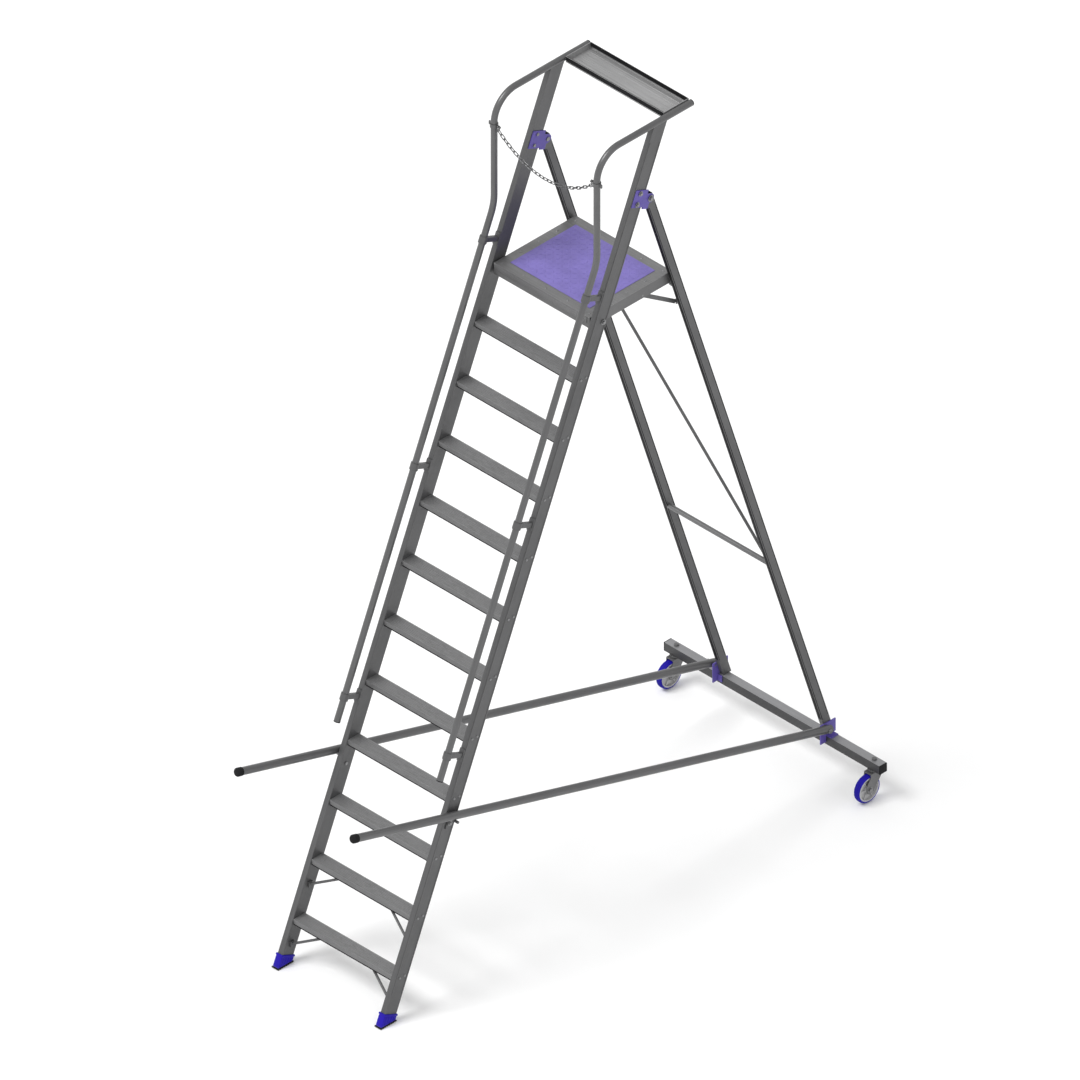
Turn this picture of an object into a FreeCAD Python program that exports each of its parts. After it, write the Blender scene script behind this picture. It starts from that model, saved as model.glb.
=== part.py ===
import FreeCAD, Part
import math
import os

import Sketcher
from FreeCAD import Placement, Rotation, Vector

# Rolling warehouse ladder: two leaning stiles with treads and a platform, a hinged rear frame on a
# wide castor bar, and two lift handles. X is the width, Y runs from the climbing side to the back,
# Z is up. The origin is the middle of the footprint, on the floor. Millimetres and degrees.

doc = FreeCAD.newDocument("rolling_warehouse_ladder")

DIMENSIONS = {
    # climbing side
    "stile_spacing": 575,
    "stile_width": 25,
    "stile_depth": 68,
    "stile_wall": 2.5,
    "stile_start": 26,
    "stile_end": 3880,
    "climb_angle": 67,
    "step_pitch": 238.75,
    "step_depth": 64,
    "step_tall": 26,
    "step_wall": 3,
    "step_lip": 9,
    "port_outer": 6.5,
    "port_hole": 3.05,
    "port_spread": 28,
    "port_drop": 9,
    "shoe_wall": 4,
    "shoe_rise": 50,
    "sole_tall": 6,
    "brace_radius": 5.5,
    "brace_run": 150,
    "brace_fall": 84,
    # platform
    "platform_height": 2829,
    "platform_width": 536,
    "platform_length": 458,
    "deck_thick": 3,
    "mat_thick": 2,
    "mat_margin": 46,
    "rail_tall": 50,
    "rail_thick": 6,
    "pivot_drop": 25,
    "pivot_set": 15,
    "pivot_radius": 5,
    # rear frame
    "hinge_offset": 72,
    "hinge_station": 3588,
    "hinge_pin": 6,
    "hinge_bolts": 48,
    "bolt_radius": 4.1,
    "bush_outer": 8,
    "running_gap": 0.05,
    "leg_angle": 71.9,
    "leg_width": 22,
    "leg_depth": 40,
    "leg_wall": 2,
    "leg_top": 12,
    "base_tall": 40,
    "base_wall": 3,
    "base_length": 1200,
    "base_axis_up": 160,
    "base_ahead": 16,
    "crossbar_up": 1157,
    "crossbar_ahead": 9,
    "crossbar_radius": 11,
    "tube_wall": 1.5,
    "diagonal_radius": 6.5,
    "diagonal_high": 2641,
    "diagonal_low": 1073,
    "diagonal_behind": 11,
    # lift handles
    "handle_radius": 17,
    "handle_wall": 2,
    "handle_angle": 16.7,
    "handle_reach": 2768,
    "handle_side": 36,
    "handle_pivot": 5,
    "pivot_up": 67,
    "pivot_ahead": 34,
    "handle_cap": 28,
    # handrails, tray and chain
    "rail_radius": 14,
    "rail_wall": 2,
    "rail_offset": 119,
    "rail_low": 1028,
    "rail_front": 1185,
    "rail_high": 3607,
    "rail_back": 1711,
    "rail_bend": 120,
    "rail_ease": 220,
    "tray_front": 1572,
    "tray_length": 141,
    "tray_tall": 28,
    "tray_wall": 2.5,
    "chain_up": 3476,
    "chain_sag": 120,
    # castors
    "castor_spacing": 1106,
    "wheel_radius": 62.5,
    "rim_radius": 54,
    "wheel_width": 30,
    "trail": 42,
    "fork_gap": 34,
    "fork_plate": 3,
    "axle_radius": 5,
}

sheet = doc.addObject("Spreadsheet::Sheet", "dims")
for row, (word, number) in enumerate(DIMENSIONS.items(), start=1):
    sheet.set(f"A{row}", word)
    sheet.set(f"B{row}", str(number))
    sheet.setAlias(f"B{row}", word)
doc.recompute()


def size(formula):
    """The number that a formula of sheet aliases comes to."""
    return float(sheet.evalExpression(formula))


def sine(degrees):
    return math.sin(math.radians(degrees))


def cosine(degrees):
    return math.cos(math.radians(degrees))


# ---------------------------------------------------------------- places
X_AXIS = Vector(1, 0, 0)
Y_AXIS = Vector(0, 1, 0)
UPRIGHT = Rotation()
ALONG_X = Rotation(Y_AXIS, 90)
HANGING = Rotation(Y_AXIS, 90)

climb = size("dims.climb_angle")
leg_angle = size("dims.leg_angle")
handle_angle = size("dims.handle_angle")
stile_x = size("dims.stile_spacing") / 2
outer_face = stile_x + size("dims.stile_width") / 2
inner_face = stile_x - size("dims.stile_width") / 2
leg_inner = stile_x - size("dims.leg_width") / 2
leg_outer = stile_x + size("dims.leg_width") / 2
stile_half = size("dims.stile_depth") / 2
leg_half = size("dims.leg_depth") / 2
platform_top = size("dims.platform_height")


def on_stile(behind, along):
    """Side-view place (y, z) from the foot, by distance behind the stile's centreline and up it."""
    y = along * cosine(climb) + behind * sine(climb)
    z = along * sine(climb) - behind * cosine(climb)
    return y, z


def off_stile(y, z):
    """Distance behind the stile's centreline and up it, for a side-view place."""
    return y * sine(climb) - z * cosine(climb), y * cosine(climb) + z * sine(climb)


hinge_y, hinge_z = on_stile(size("dims.hinge_offset"), size("dims.hinge_station"))
base_z = size("dims.base_axis_up")
base_y = hinge_y + (hinge_z - base_z) / math.tan(math.radians(leg_angle)) - size("dims.base_ahead")
handle_y, handle_z = base_y - size("dims.pivot_ahead"), base_z + size("dims.pivot_up")
bracket_ahead, bracket_behind, bracket_rise = 30, 14, 60

# The footprint's middle: the handle caps reach furthest forward, the base brackets furthest back.
cap_radius = size("dims.handle_radius") + 1.5
cap_end = size("dims.handle_reach") + 6
front_reach = handle_y - cap_end * cosine(handle_angle) - cap_radius * sine(handle_angle)
rear_reach = base_y + size("dims.base_tall") / 2 + bracket_behind
origin_y = (front_reach + rear_reach) / 2


def at(x, y, z, turn=UPRIGHT):
    """A placement from width, distance behind the foot line, and height."""
    return Placement(Vector(x, y - origin_y, z), turn)


def side_frame(x, y, z, angle):
    """A frame whose Z runs at this angle in the side view, 0 towards the back and 90 upwards."""
    return at(x, y, z, Rotation(X_AXIS, angle - 90))


def inside(frame, x, y, z, turn=UPRIGHT):
    return frame.multiply(Placement(Vector(x, y, z), turn))


def stile_frame(side, along=0.0):
    y, z = on_stile(0, along)
    return side_frame(side * stile_x, y, z, climb)


def leg_frame(x, down=0.0):
    """Z runs up the leg, Y points behind it, from a point this far below the hinge."""
    y = hinge_y + down * cosine(leg_angle)
    z = hinge_z - down * sine(leg_angle)
    return side_frame(x, y, z, 180 - leg_angle)


def handle_frame(side, along=0.0):
    x = side * (stile_x + size("dims.handle_side"))
    y = handle_y - along * cosine(handle_angle)
    z = handle_z + along * sine(handle_angle)
    return side_frame(x, y, z, 180 - handle_angle)


# ---------------------------------------------------------------- building blocks
nodes = {}


def bind(thing, **formulas):
    for prop, formula in formulas.items():
        thing.setExpression(prop, formula)
    return thing


def box(name, length, width, height, frame, centre=(True, True, False)):
    """A block with sizes given as formulas, centred on the frame where asked."""
    made = doc.addObject("Part::Box", name)
    bind(made, Length=length, Width=width, Height=height)
    shift = [-size(f) / 2 if middle else 0 for f, middle in zip((length, width, height), centre)]
    made.Placement = frame.multiply(Placement(Vector(*shift), UPRIGHT))
    return made


def rod(name, radius, height, frame):
    """A cylinder that starts at the frame and runs along its Z."""
    made = doc.addObject("Part::Cylinder", name)
    bind(made, Radius=radius, Height=height)
    made.Placement = frame
    return made


def rod_x(name, radius, start, end, y, z):
    """A cylinder along X between two widths, at a side-view point in row coordinates."""
    return rod(name, radius, str(abs(end - start)), Placement(Vector(min(start, end), y, z), ALONG_X))


def join(name, *parts):
    made = doc.addObject("Part::MultiFuse", name)
    made.Shapes = list(parts)
    made.Refine = True
    return made


def cut(name, base, *tools):
    made = doc.addObject("Part::Cut", name)
    made.Base = base
    made.Tool = tools[0] if len(tools) == 1 else join(name + "_tools", *tools)
    made.Refine = True
    return made


def group(name, parts):
    """Identical or paired pieces that stay separate solids of one node."""
    made = doc.addObject("Part::Compound", name)
    made.Links = list(parts)
    return made


def node(name, made):
    made.Label = name
    nodes[name] = made
    return made


def solids(name, shapes):
    """A group of fasteners or links, whose shapes are worked out from the sheet's values."""
    made = doc.addObject("Part::Feature", name)
    made.Shape = Part.makeCompound(shapes)
    made.Placement = Placement()
    return node(name, made)


def plane_of(body, role):
    return next(f for f in body.Origin.OriginFeatures if f.Role == role)


def new_sketch(body, name, role):
    sketch = body.newObject("Sketcher::SketchObject", name)
    sketch.AttachmentSupport = (plane_of(body, role), [""])
    sketch.MapMode = "FlatFace"
    return sketch


def pin_point(sketch, geometry, point, axis, formula):
    """Holds one coordinate of a sketch point at a formula's value."""
    number = size(formula)
    if abs(number) < 1e-9:
        line = -2 if axis == "DistanceX" else -1
        sketch.addConstraint(Sketcher.Constraint("PointOnObject", geometry, point, line))
        return
    index = sketch.addConstraint(Sketcher.Constraint(axis, -1, 1, geometry, point, number))
    sketch.setExpression(f"Constraints[{index}]", formula)


def outline(sketch, corners):
    """A closed run of straight edges through corners given as pairs of formulas."""
    points = [Vector(size(u), size(v), 0) for u, v in corners]
    first = sketch.GeometryCount
    count = len(points)
    for i in range(count):
        sketch.addGeometry(Part.LineSegment(points[i], points[(i + 1) % count]), False)
    for i in range(count):
        after = first + (i + 1) % count
        sketch.addConstraint(Sketcher.Constraint("Coincident", first + i, 2, after, 1))
    for i, (u, v) in enumerate(corners):
        pin_point(sketch, first + i, 1, "DistanceX", u)
        pin_point(sketch, first + i, 1, "DistanceY", v)


def ring(sketch, u, v, radius):
    """A circle with its centre and radius given as formulas."""
    middle = Vector(size(u), size(v), 0)
    index = sketch.addGeometry(Part.Circle(middle, Vector(0, 0, 1), size(radius)), False)
    pin_point(sketch, index, 3, "DistanceX", u)
    pin_point(sketch, index, 3, "DistanceY", v)
    held = sketch.addConstraint(Sketcher.Constraint("Radius", index, size(radius)))
    sketch.setExpression(f"Constraints[{held}]", radius)


def centred_rectangle(sketch, wide, deep):
    corners = [("-", "-"), ("", "-"), ("", ""), ("-", "")]
    outline(sketch, [(f"{a}({wide}) / 2", f"{b}({deep}) / 2") for a, b in corners])


def new_body(name, frame):
    body = doc.addObject("PartDesign::Body", name)
    body.Placement = frame
    return body


def pad(body, sketch, length, both_ways=False):
    made = body.newObject("PartDesign::Pad", sketch.Name + "_pad")
    made.Profile = sketch
    made.Midplane = both_ways
    made.setExpression("Length", length)
    body.Tip = made
    doc.recompute()
    return made


def pocket(body, sketch, length):
    """Cuts both ways from the sketch and proves that something was removed."""
    before = body.Shape.Volume
    made = body.newObject("PartDesign::Pocket", sketch.Name + "_pocket")
    made.Profile = sketch
    made.Midplane = True
    made.setExpression("Length", length)
    body.Tip = made
    doc.recompute()
    if not body.Shape.Volume < before:
        raise RuntimeError(f"{made.Name} removed nothing")
    return made


def tube(name, radius, wall, length, frame):
    """A round tube along the frame's Z, as a padded ring."""
    body = new_body(name, frame)
    sketch = new_sketch(body, name + "_ring", "XY_Plane")
    ring(sketch, "0", "0", radius)
    ring(sketch, "0", "0", f"({radius}) - ({wall})")
    pad(body, sketch, length)
    return body


# ---------------------------------------------------------------- climbing side
step_count = 11
stile_run = size("dims.step_pitch") / sine(climb)
port_rows = [-1, 1]
port_shift = -2


def step_top(number):
    """Height of a tread's top; the platform is the level above the last tread."""
    return platform_top - (step_count + 1 - number) * size("dims.step_pitch")


def step_middle(number):
    return step_top(number) / math.tan(math.radians(climb))


def port_place(number, row):
    """Side-view place of a tread's screw port."""
    y = step_middle(number) + port_shift + row * size("dims.port_spread") / 2
    return y, step_top(number) - size("dims.port_drop")


def make_stile(name, side):
    body = new_body(name, inside(stile_frame(side), 0, 0, size("dims.stile_start")))
    section = new_sketch(body, name + "_section", "XY_Plane")
    centred_rectangle(section, "dims.stile_width", "dims.stile_depth")
    centred_rectangle(section, "dims.stile_width - 2 * dims.stile_wall",
                      "dims.stile_depth - 2 * dims.stile_wall")
    pad(body, section, "dims.stile_end - dims.stile_start")
    holes = new_sketch(body, name + "_step_holes", "YZ_Plane")
    for row in port_rows:
        behind, along = off_stile(*port_place(1, row))
        ring(holes, str(behind), str(along - size("dims.stile_start")), "dims.port_hole + 0.15")
    first = pocket(body, holes, "2 * dims.stile_width")
    pattern = body.newObject("PartDesign::LinearPattern", name + "_step_pattern")
    pattern.Originals = [first]
    pattern.Direction = (plane_of(body, "Z_Axis"), [""])
    pattern.setExpression("Length", f"{step_count - 1} * dims.step_pitch / sin(dims.climb_angle * 1 deg)")
    pattern.Occurrences = step_count
    body.Tip = pattern
    doc.recompute()
    fixings = new_sketch(body, name + "_fixing_holes", "YZ_Plane")
    for behind, along, radius in stile_fixings():
        ring(fixings, str(behind), str(along - size("dims.stile_start")), radius)
    pocket(body, fixings, "2 * dims.stile_width")
    return node(name, body)


def stile_fixings():
    """Through holes of a stile besides the treads': place behind and up it, and radius formula."""
    holes = [(0, station, "dims.bolt_radius") for station in bolt_stations()]
    behind, along = off_stile(pivot_y, pivot_z)
    holes.append((behind, along, "dims.pivot_radius"))
    return holes


def bolt_stations():
    """Distances up the stile of the hinge brackets' and saddles' through bolts."""
    middle = size("dims.hinge_station")
    spread = size("dims.hinge_bolts") / 2
    return [middle - spread, middle + spread, saddle_bolt_station()]


def make_step(number):
    """A tread: an open channel with two screw ports under its top, padded across the width."""
    name = f"step_{number:02d}"
    front = size("dims.step_depth") / 2 + 4
    body = new_body(name, at(0, step_middle(number) - front, step_top(number)))
    section = new_sketch(body, name + "_section", "YZ_Plane")
    deep, tall, wall, lip = "dims.step_depth", "dims.step_tall", "dims.step_wall", "dims.step_lip"
    outline(section, [
        ("0", "0"), (deep, "0"), (deep, f"-{tall}"), (f"{deep} - {lip}", f"-{tall}"),
        (f"{deep} - {lip}", f"{wall} - {tall}"), (f"{deep} - {wall}", f"{wall} - {tall}"),
        (f"{deep} - {wall}", f"-{wall}"), (wall, f"-{wall}"), (wall, f"{wall} - {tall}"),
        (lip, f"{wall} - {tall}"), (lip, f"-{tall}"), ("0", f"-{tall}"),
    ])
    clear = "dims.stile_spacing - dims.stile_width"
    pad(body, section, clear, both_ways=True)
    ports = new_sketch(body, name + "_ports", "YZ_Plane")
    bores = new_sketch(body, name + "_bores", "YZ_Plane")
    for row in port_rows:
        u = f"{front + port_shift} + {row} * dims.port_spread / 2"
        ring(ports, u, "-dims.port_drop", "dims.port_outer")
        ring(bores, u, "-dims.port_drop", "dims.port_hole")
    pad(body, ports, clear, both_ways=True)
    pocket(body, bores, "2 * dims.stile_spacing")
    return node(name, body)


def bolt(radius, length, head_radius, head_tall, x, y, z, side):
    """A bolt along X: its head's underside is at width x, its shank points to the middle."""
    inward = Vector(-side, 0, 0)
    start = Vector(x, y - origin_y, z)
    shank = Part.makeCylinder(radius, length, start, inward)
    head = Part.makeCylinder(head_radius, head_tall, start - inward * head_tall, inward)
    return shank.fuse(head).removeSplitter()


def make_step_bolts():
    bolts = []
    for number in range(1, step_count + 1):
        for row in port_rows:
            y, z = port_place(number, row)
            for side in (-1, 1):
                radius = size("dims.port_hole - dims.running_gap")
                bolts.append(bolt(radius, 44, 6, 3.5, side * outer_face, y, z, side))
    return solids("step_bolts", bolts)


def make_shoe(name, side):
    """A moulded shoe round the stile's lower end, cut level above its sole."""
    block = box(name + "_block", "dims.stile_width + 2 * dims.shoe_wall",
                "dims.stile_depth + 2 * dims.shoe_wall",
                "dims.shoe_rise + 60", inside(stile_frame(side), 0, 0, -60))
    socket = box(name + "_socket", "dims.stile_width", "dims.stile_depth", "dims.shoe_rise",
                 inside(stile_frame(side), 0, 0, size("dims.stile_start")))
    floor_z = size("dims.sole_tall")
    ground = box(name + "_ground", "200", "400", "200", at(side * stile_x, 0, floor_z - 200))
    return node(name, cut(name + "_shoe", block, socket, ground))


def make_soles():
    pads = []
    for side in (-1, 1):
        pads.append(box(f"sole_{side + 1}", "dims.stile_width + 2 * dims.shoe_wall + 4",
                        "(dims.stile_depth + 2 * dims.shoe_wall) / sin(dims.climb_angle * 1 deg) + 8",
                        "dims.sole_tall", at(side * stile_x, 3, 0)))
    return node("shoe_soles", group("soles", pads))


def make_step_braces():
    """Round stays from under the two lowest treads to the middle of the stiles' inner faces."""
    braces = []
    inset, plate = 6, 8
    run, fall = size("dims.brace_run"), size("dims.brace_fall")
    for number in (1, 2):
        under = step_top(number) - size("dims.step_tall")
        low_y = (under - fall) / math.tan(math.radians(climb))
        high_y = step_middle(number) - 4
        for side in (-1, 1):
            tag = f"brace_{number}_{side + 1}"
            low = Vector(side * (inner_face - inset), low_y - origin_y, under - fall)
            high = Vector(side * (inner_face - run), high_y - origin_y, under - plate + 2)
            reach = high - low
            turn = Rotation(Vector(0, 0, 1), reach)
            bar = rod(tag + "_bar", "dims.brace_radius", str(reach.Length), Placement(low, turn))
            wall_pad = box(tag + "_wall", str(plate), "22", "24",
                           at(side * (inner_face - plate / 2), low_y, under - fall - 12))
            top_pad = box(tag + "_top", "30", "40", str(plate - 2),
                          at(side * (inner_face - run), high_y, under - plate + 2))
            braces.append(join(tag, bar, wall_pad, top_pad))
    return node("step_braces", group("braces", braces))


def make_stile_caps():
    """Wedge plugs on the stile tops, each with a saddle for the handrail that crosses it."""
    caps = []
    for side in (-1, 1):
        tag = f"cap_{side + 1}"
        block = box(tag + "_block", "dims.stile_width", "dims.stile_depth", "60",
                    inside(stile_frame(side), 0, 0, size("dims.stile_end")))
        saddle_top = size("dims.rail_high - 6")
        above = box(tag + "_above", "100", "300", "200",
                    at(side * stile_x, size("dims.rail_front") + 350, saddle_top))
        rail = rod(tag + "_rail", "dims.rail_radius + dims.running_gap", "700",
                   side_frame(side * stile_x, 1200, size("dims.rail_high"), 0))
        caps.append(cut(tag, block, above, rail))
    return node("stile_caps", group("stile_cap_pair", caps))


# ---------------------------------------------------------------- handrails, tray, chain
def rail_points():
    """Side-view corners of a handrail: low end, ease into the upright, top bend, back end."""
    offset = -size("dims.rail_offset")
    unit_y, unit_z = on_stile(0, 1)
    shift_y, shift_z = on_stile(offset, 0)
    low = (size("dims.rail_low") - shift_z) / unit_z
    ease = (size("dims.rail_front") - shift_y) / unit_y
    return [
        (low * unit_y + shift_y, size("dims.rail_low")),
        (size("dims.rail_front"), ease * unit_z + shift_z),
        (size("dims.rail_front"), size("dims.rail_high")),
        (size("dims.rail_back"), size("dims.rail_high")),
    ]


def rounded_path(points, radii):
    """Straight runs joined by tangent arcs, from corner points."""
    corners = [Vector(0, y - origin_y, z) for y, z in points]
    edges, last = [], corners[0]
    for i, radius in enumerate(radii, start=1):
        before = (corners[i - 1] - corners[i]).normalize()
        after = (corners[i + 1] - corners[i]).normalize()
        turn = math.pi - before.getAngle(after)
        reach = radius * math.tan(turn / 2)
        start, end = corners[i] + before * reach, corners[i] + after * reach
        bisector = (before + after).normalize()
        middle = corners[i] + bisector * (radius / math.cos(turn / 2) - radius)
        edges.append(Part.LineSegment(last, start).toShape())
        edges.append(Part.Arc(start, middle, end).toShape())
        last = end
    edges.append(Part.LineSegment(last, corners[-1]).toShape())
    return Part.Wire(edges)


def make_handrail(name, side):
    """A bent tube: one ring swept along the rail's centreline."""
    path = doc.addObject("Part::Feature", name + "_path")
    path.Shape = rounded_path(rail_points(), [size("dims.rail_ease"), size("dims.rail_bend")])
    start = path.Shape.Vertexes[0].Point
    sections = []
    for tag, radius in (("outer", "dims.rail_radius"), ("inner", "dims.rail_radius - dims.rail_wall")):
        loop = doc.addObject("Part::Circle", f"{name}_{tag}_ring")
        loop.setExpression("Radius", radius)
        loop.Placement = Placement(start, Rotation(X_AXIS, climb - 90))
        swept = doc.addObject("Part::Sweep", f"{name}_{tag}")
        swept.Sections = [loop]
        swept.Spine = (path, [f"Edge{i + 1}" for i in range(len(path.Shape.Edges))])
        swept.Solid = True
        swept.Frenet = False
        sections.append(swept)
    rail = cut(name + "_tube", *sections)
    rail.Placement = Placement(Vector(side * stile_x, 0, 0), UPRIGHT)
    return node(name, rail)


bracket_stations = [stile / sine(climb) for stile in (1079, 1999, 2905)]


def make_rail_brackets():
    """Standoffs from the stile's front face to a collar round the handrail."""
    brackets = []
    reach = size("dims.rail_offset") - stile_half
    for side in (-1, 1):
        for number, along in enumerate(bracket_stations):
            tag = f"bracket_{side + 1}_{number}"
            frame = stile_frame(side, along)
            foot = box(tag + "_foot", "dims.stile_width", "5", "54",
                       inside(frame, 0, -stile_half - 5, 0), (True, False, True))
            arm = box(tag + "_arm", "18", str(reach - 4), "20",
                      inside(frame, 0, -stile_half - reach, 0), (True, False, True))
            collar = rod(tag + "_collar", "dims.rail_radius + 4", "30",
                         inside(frame, 0, -size("dims.rail_offset"), -15))
            rail = rod(tag + "_bore", "dims.rail_radius + dims.running_gap", "60",
                       inside(frame, 0, -size("dims.rail_offset"), -30))
            brackets.append(cut(tag, join(tag + "_solid", foot, arm, collar), rail))
    return node("rail_brackets", group("rail_bracket_set", brackets))


def make_rail_end_caps():
    """Plugs on the lower and rear ends of both handrails."""
    caps = []
    low, back = rail_points()[0], rail_points()[-1]
    for side in (-1, 1):
        caps.append(rod(f"low_cap_{side + 1}", "dims.rail_radius", "4",
                        inside(side_frame(side * stile_x, *low, climb), 0, 0, -4)))
        caps.append(rod(f"back_cap_{side + 1}", "dims.rail_radius", "4",
                        side_frame(side * stile_x, *back, 0)))
    return node("rail_end_caps", group("rail_cap_set", caps))


def make_tool_tray():
    """A shallow open tray between the handrails, behind the stile tops."""
    wide = "dims.stile_spacing - 2 * dims.rail_radius"
    frame = at(0, size("dims.tray_front"), size("dims.rail_high + dims.rail_radius - dims.tray_tall"))
    outer = box("tray_outer", wide, "dims.tray_length", "dims.tray_tall", frame, (True, False, False))
    inner = box("tray_inner", f"{wide} - 2 * dims.tray_wall", "dims.tray_length - 2 * dims.tray_wall",
                "dims.tray_tall", inside(frame, 0, size("dims.tray_wall"), size("dims.tray_wall")),
                (True, False, False))
    return node("tool_tray", cut("tray", outer, inner))


eye_inset = size("dims.rail_radius") + 10
pin_radius = 3.9


def make_chain_eyes():
    """Clamp rings on the upright rails, each with a headed pin for the chain and a clamp ear outside."""
    eyes = []
    height = size("dims.chain_up")
    front = size("dims.rail_front")
    for side in (-1, 1):
        tag = f"eye_{side + 1}"
        clamp = rod(tag + "_ring", "dims.rail_radius + 3.5", "18", at(side * stile_x, front, height - 9))
        ear = box(tag + "_ear", "16", "6", "16", at(side * (stile_x + 20), front, height - 8))
        tip = stile_x - eye_inset - 5
        pin = rod_x(tag + "_pin", str(pin_radius), side * tip, side * (stile_x - 8), front - origin_y, height)
        head = rod_x(tag + "_head", "6.5", side * tip, side * (tip - 3), front - origin_y, height)
        bore = rod(tag + "_bore", "dims.rail_radius + dims.running_gap", "40",
                   at(side * stile_x, front, height - 20))
        eyes.append(cut(tag, join(tag + "_solid", clamp, ear, pin, head), bore))
    return node("chain_eyes", group("chain_eye_pair", eyes))


link_wire, link_inner, link_wide = 2.0, 22.0, 8.0


def chain_link():
    """One oblong link in the XY plane, long way along X: a wire loop swept by its round section."""
    straight, bend = (link_inner - link_wide) / 2, link_wide / 2 + link_wire
    a, b = Vector(-straight, bend, 0), Vector(straight, bend, 0)
    c, d = Vector(straight, -bend, 0), Vector(-straight, -bend, 0)
    loop = Part.Wire([
        Part.LineSegment(a, b).toShape(),
        Part.Arc(b, Vector(straight + bend, 0, 0), c).toShape(),
        Part.LineSegment(c, d).toShape(),
        Part.Arc(d, Vector(-straight - bend, 0, 0), a).toShape(),
    ])
    section = Part.Wire([Part.makeCircle(link_wire, a, X_AXIS)])
    return loop.makePipeShell([section], True, True)


def chain_curve(span, sag):
    """The catenary's parameter for this span and sag, found by halving."""
    low, high = span / 20, span * 20
    for _ in range(80):
        guess = (low + high) / 2
        drop = guess * (math.cosh(span / 2 / guess) - 1)
        low, high = (guess, high) if drop > sag else (low, guess)
    return (low + high) / 2


def make_safety_chain():
    """An end ring on each pin, and links along a hanging curve, every second one turned a quarter."""
    half = stile_x - eye_inset
    front, height = size("dims.rail_front") - origin_y, size("dims.chain_up")
    ring_reach = (link_inner - link_wide) / 2
    links = []
    for side in (-1, 1):
        end_ring = chain_link()
        end_ring.Placement = Placement(Vector(side * half, front, height - ring_reach), HANGING)
        links.append(end_ring)
    drop = 2 * ring_reach + 1
    sag = size("dims.chain_sag") - drop
    curve = chain_curve(2 * half, sag)
    length = 2 * curve * math.sinh(half / curve)
    count = 2 * round((length / (link_inner - 0.4) - 1) / 2) + 1
    pitch = length / count
    for i in range(count):
        along = (i + 0.5) * pitch - length / 2
        x = curve * math.asinh(along / curve)
        z = curve * (math.cosh(x / curve) - 1) - sag + height - drop
        slope = math.degrees(math.atan(math.sinh(x / curve)))
        turn = Rotation(Y_AXIS, -slope).multiply(Rotation(X_AXIS, 90 * (1 + i % 2)))
        link = chain_link()
        link.Placement = Placement(Vector(x, front, z), turn)
        links.append(link)
    return solids("safety_chain", links)


# ---------------------------------------------------------------- rear frame
def make_leg(name, side):
    """A rectangular tube with a hinge hole, cut level where it stands on the base bar."""
    length = (hinge_z - base_z) / sine(leg_angle)
    frame = inside(leg_frame(side * stile_x), 0, 0, -length)
    total = f"{length} + dims.leg_top"
    outer = box(name + "_outer", "dims.leg_width", "dims.leg_depth", total, frame)
    inner = box(name + "_inner", "dims.leg_width - 2 * dims.leg_wall", "dims.leg_depth - 2 * dims.leg_wall",
                total, frame)
    bar_top = base_z + size("dims.base_tall") / 2
    below = box(name + "_below", "200", "400", "200", at(side * stile_x, base_y, bar_top - 200))
    hole = rod_x(name + "_hole", "dims.bush_outer", side * stile_x - 30, side * stile_x + 30,
                 hinge_y - origin_y, hinge_z)
    return node(name, cut(name + "_tube", outer, inner, below, hole))


def make_leg_bushes():
    bushes = []
    for side in (-1, 1):
        tag = f"bush_{side + 1}"
        middle = side * stile_x
        half = size("dims.leg_width") / 2
        y = hinge_y - origin_y
        outer = rod_x(tag + "_outer", "dims.bush_outer", middle - half, middle + half, y, hinge_z)
        bore = rod_x(tag + "_bore", "dims.hinge_pin + dims.running_gap", middle - 20, middle + 20, y, hinge_z)
        bushes.append(cut(tag, outer, bore))
    return node("leg_bushes", group("bush_pair", bushes))


cheek = 4


def make_hinge_brackets():
    """Forked brackets that clasp each stile and reach back round the top of the leg."""
    brackets = []
    reach = size("dims.hinge_offset")
    neck_high, neck_low = 20, 46
    for side in (-1, 1):
        frame = stile_frame(side, size("dims.hinge_station"))
        pieces = []
        for face, x in (("out", size("dims.stile_width") / 2), ("in", -size("dims.stile_width") / 2 - cheek)):
            tag = f"hinge_{side + 1}_{face}"
            left = x if side > 0 else -x - cheek
            pieces.append(box(tag + "_plate", str(cheek), "74", "76", inside(frame, left, -28, -38),
                              (False, False, False)))
            pieces.append(box(tag + "_neck", str(cheek), str(reach - 40), str(neck_high + neck_low),
                              inside(frame, left, 40, -neck_low), (False, False, False)))
            pieces.append(rod(tag + "_nose", "20", str(cheek), inside(frame, left, reach, 0, ALONG_X)))
        pieces.append(box(f"hinge_{side + 1}_web", "dims.stile_width", "3", "76",
                          inside(frame, 0, stile_half, -38), (True, False, False)))
        holes = [rod(f"hinge_{side + 1}_pin_hole", "dims.hinge_pin", "60",
                     inside(frame, -30, reach, 0, ALONG_X))]
        for row in (-1, 1):
            station = row * size("dims.hinge_bolts") / 2
            holes.append(rod(f"hinge_{side + 1}_bolt_{row + 1}", "dims.bolt_radius", "60",
                             inside(frame, -30, 0, station, ALONG_X)))
        brackets.append(cut(f"hinge_bracket_{side + 1}", join(f"hinge_{side + 1}_solid", *pieces), *holes))
    return node("hinge_brackets", group("hinge_bracket_pair", brackets))


def pinned(radius, head, start, end, y, z, side):
    """A headed pin across the width, with a retaining collar on its inner end."""
    body = Part.makeCylinder(radius, abs(end - start), Vector(min(start, end), y, z), X_AXIS)
    for x in (start - side * 4, end):
        low = min(x, x + side * 4)
        body = body.fuse(Part.makeCylinder(head, 4, Vector(low, y, z), X_AXIS))
    return body.removeSplitter()


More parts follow.
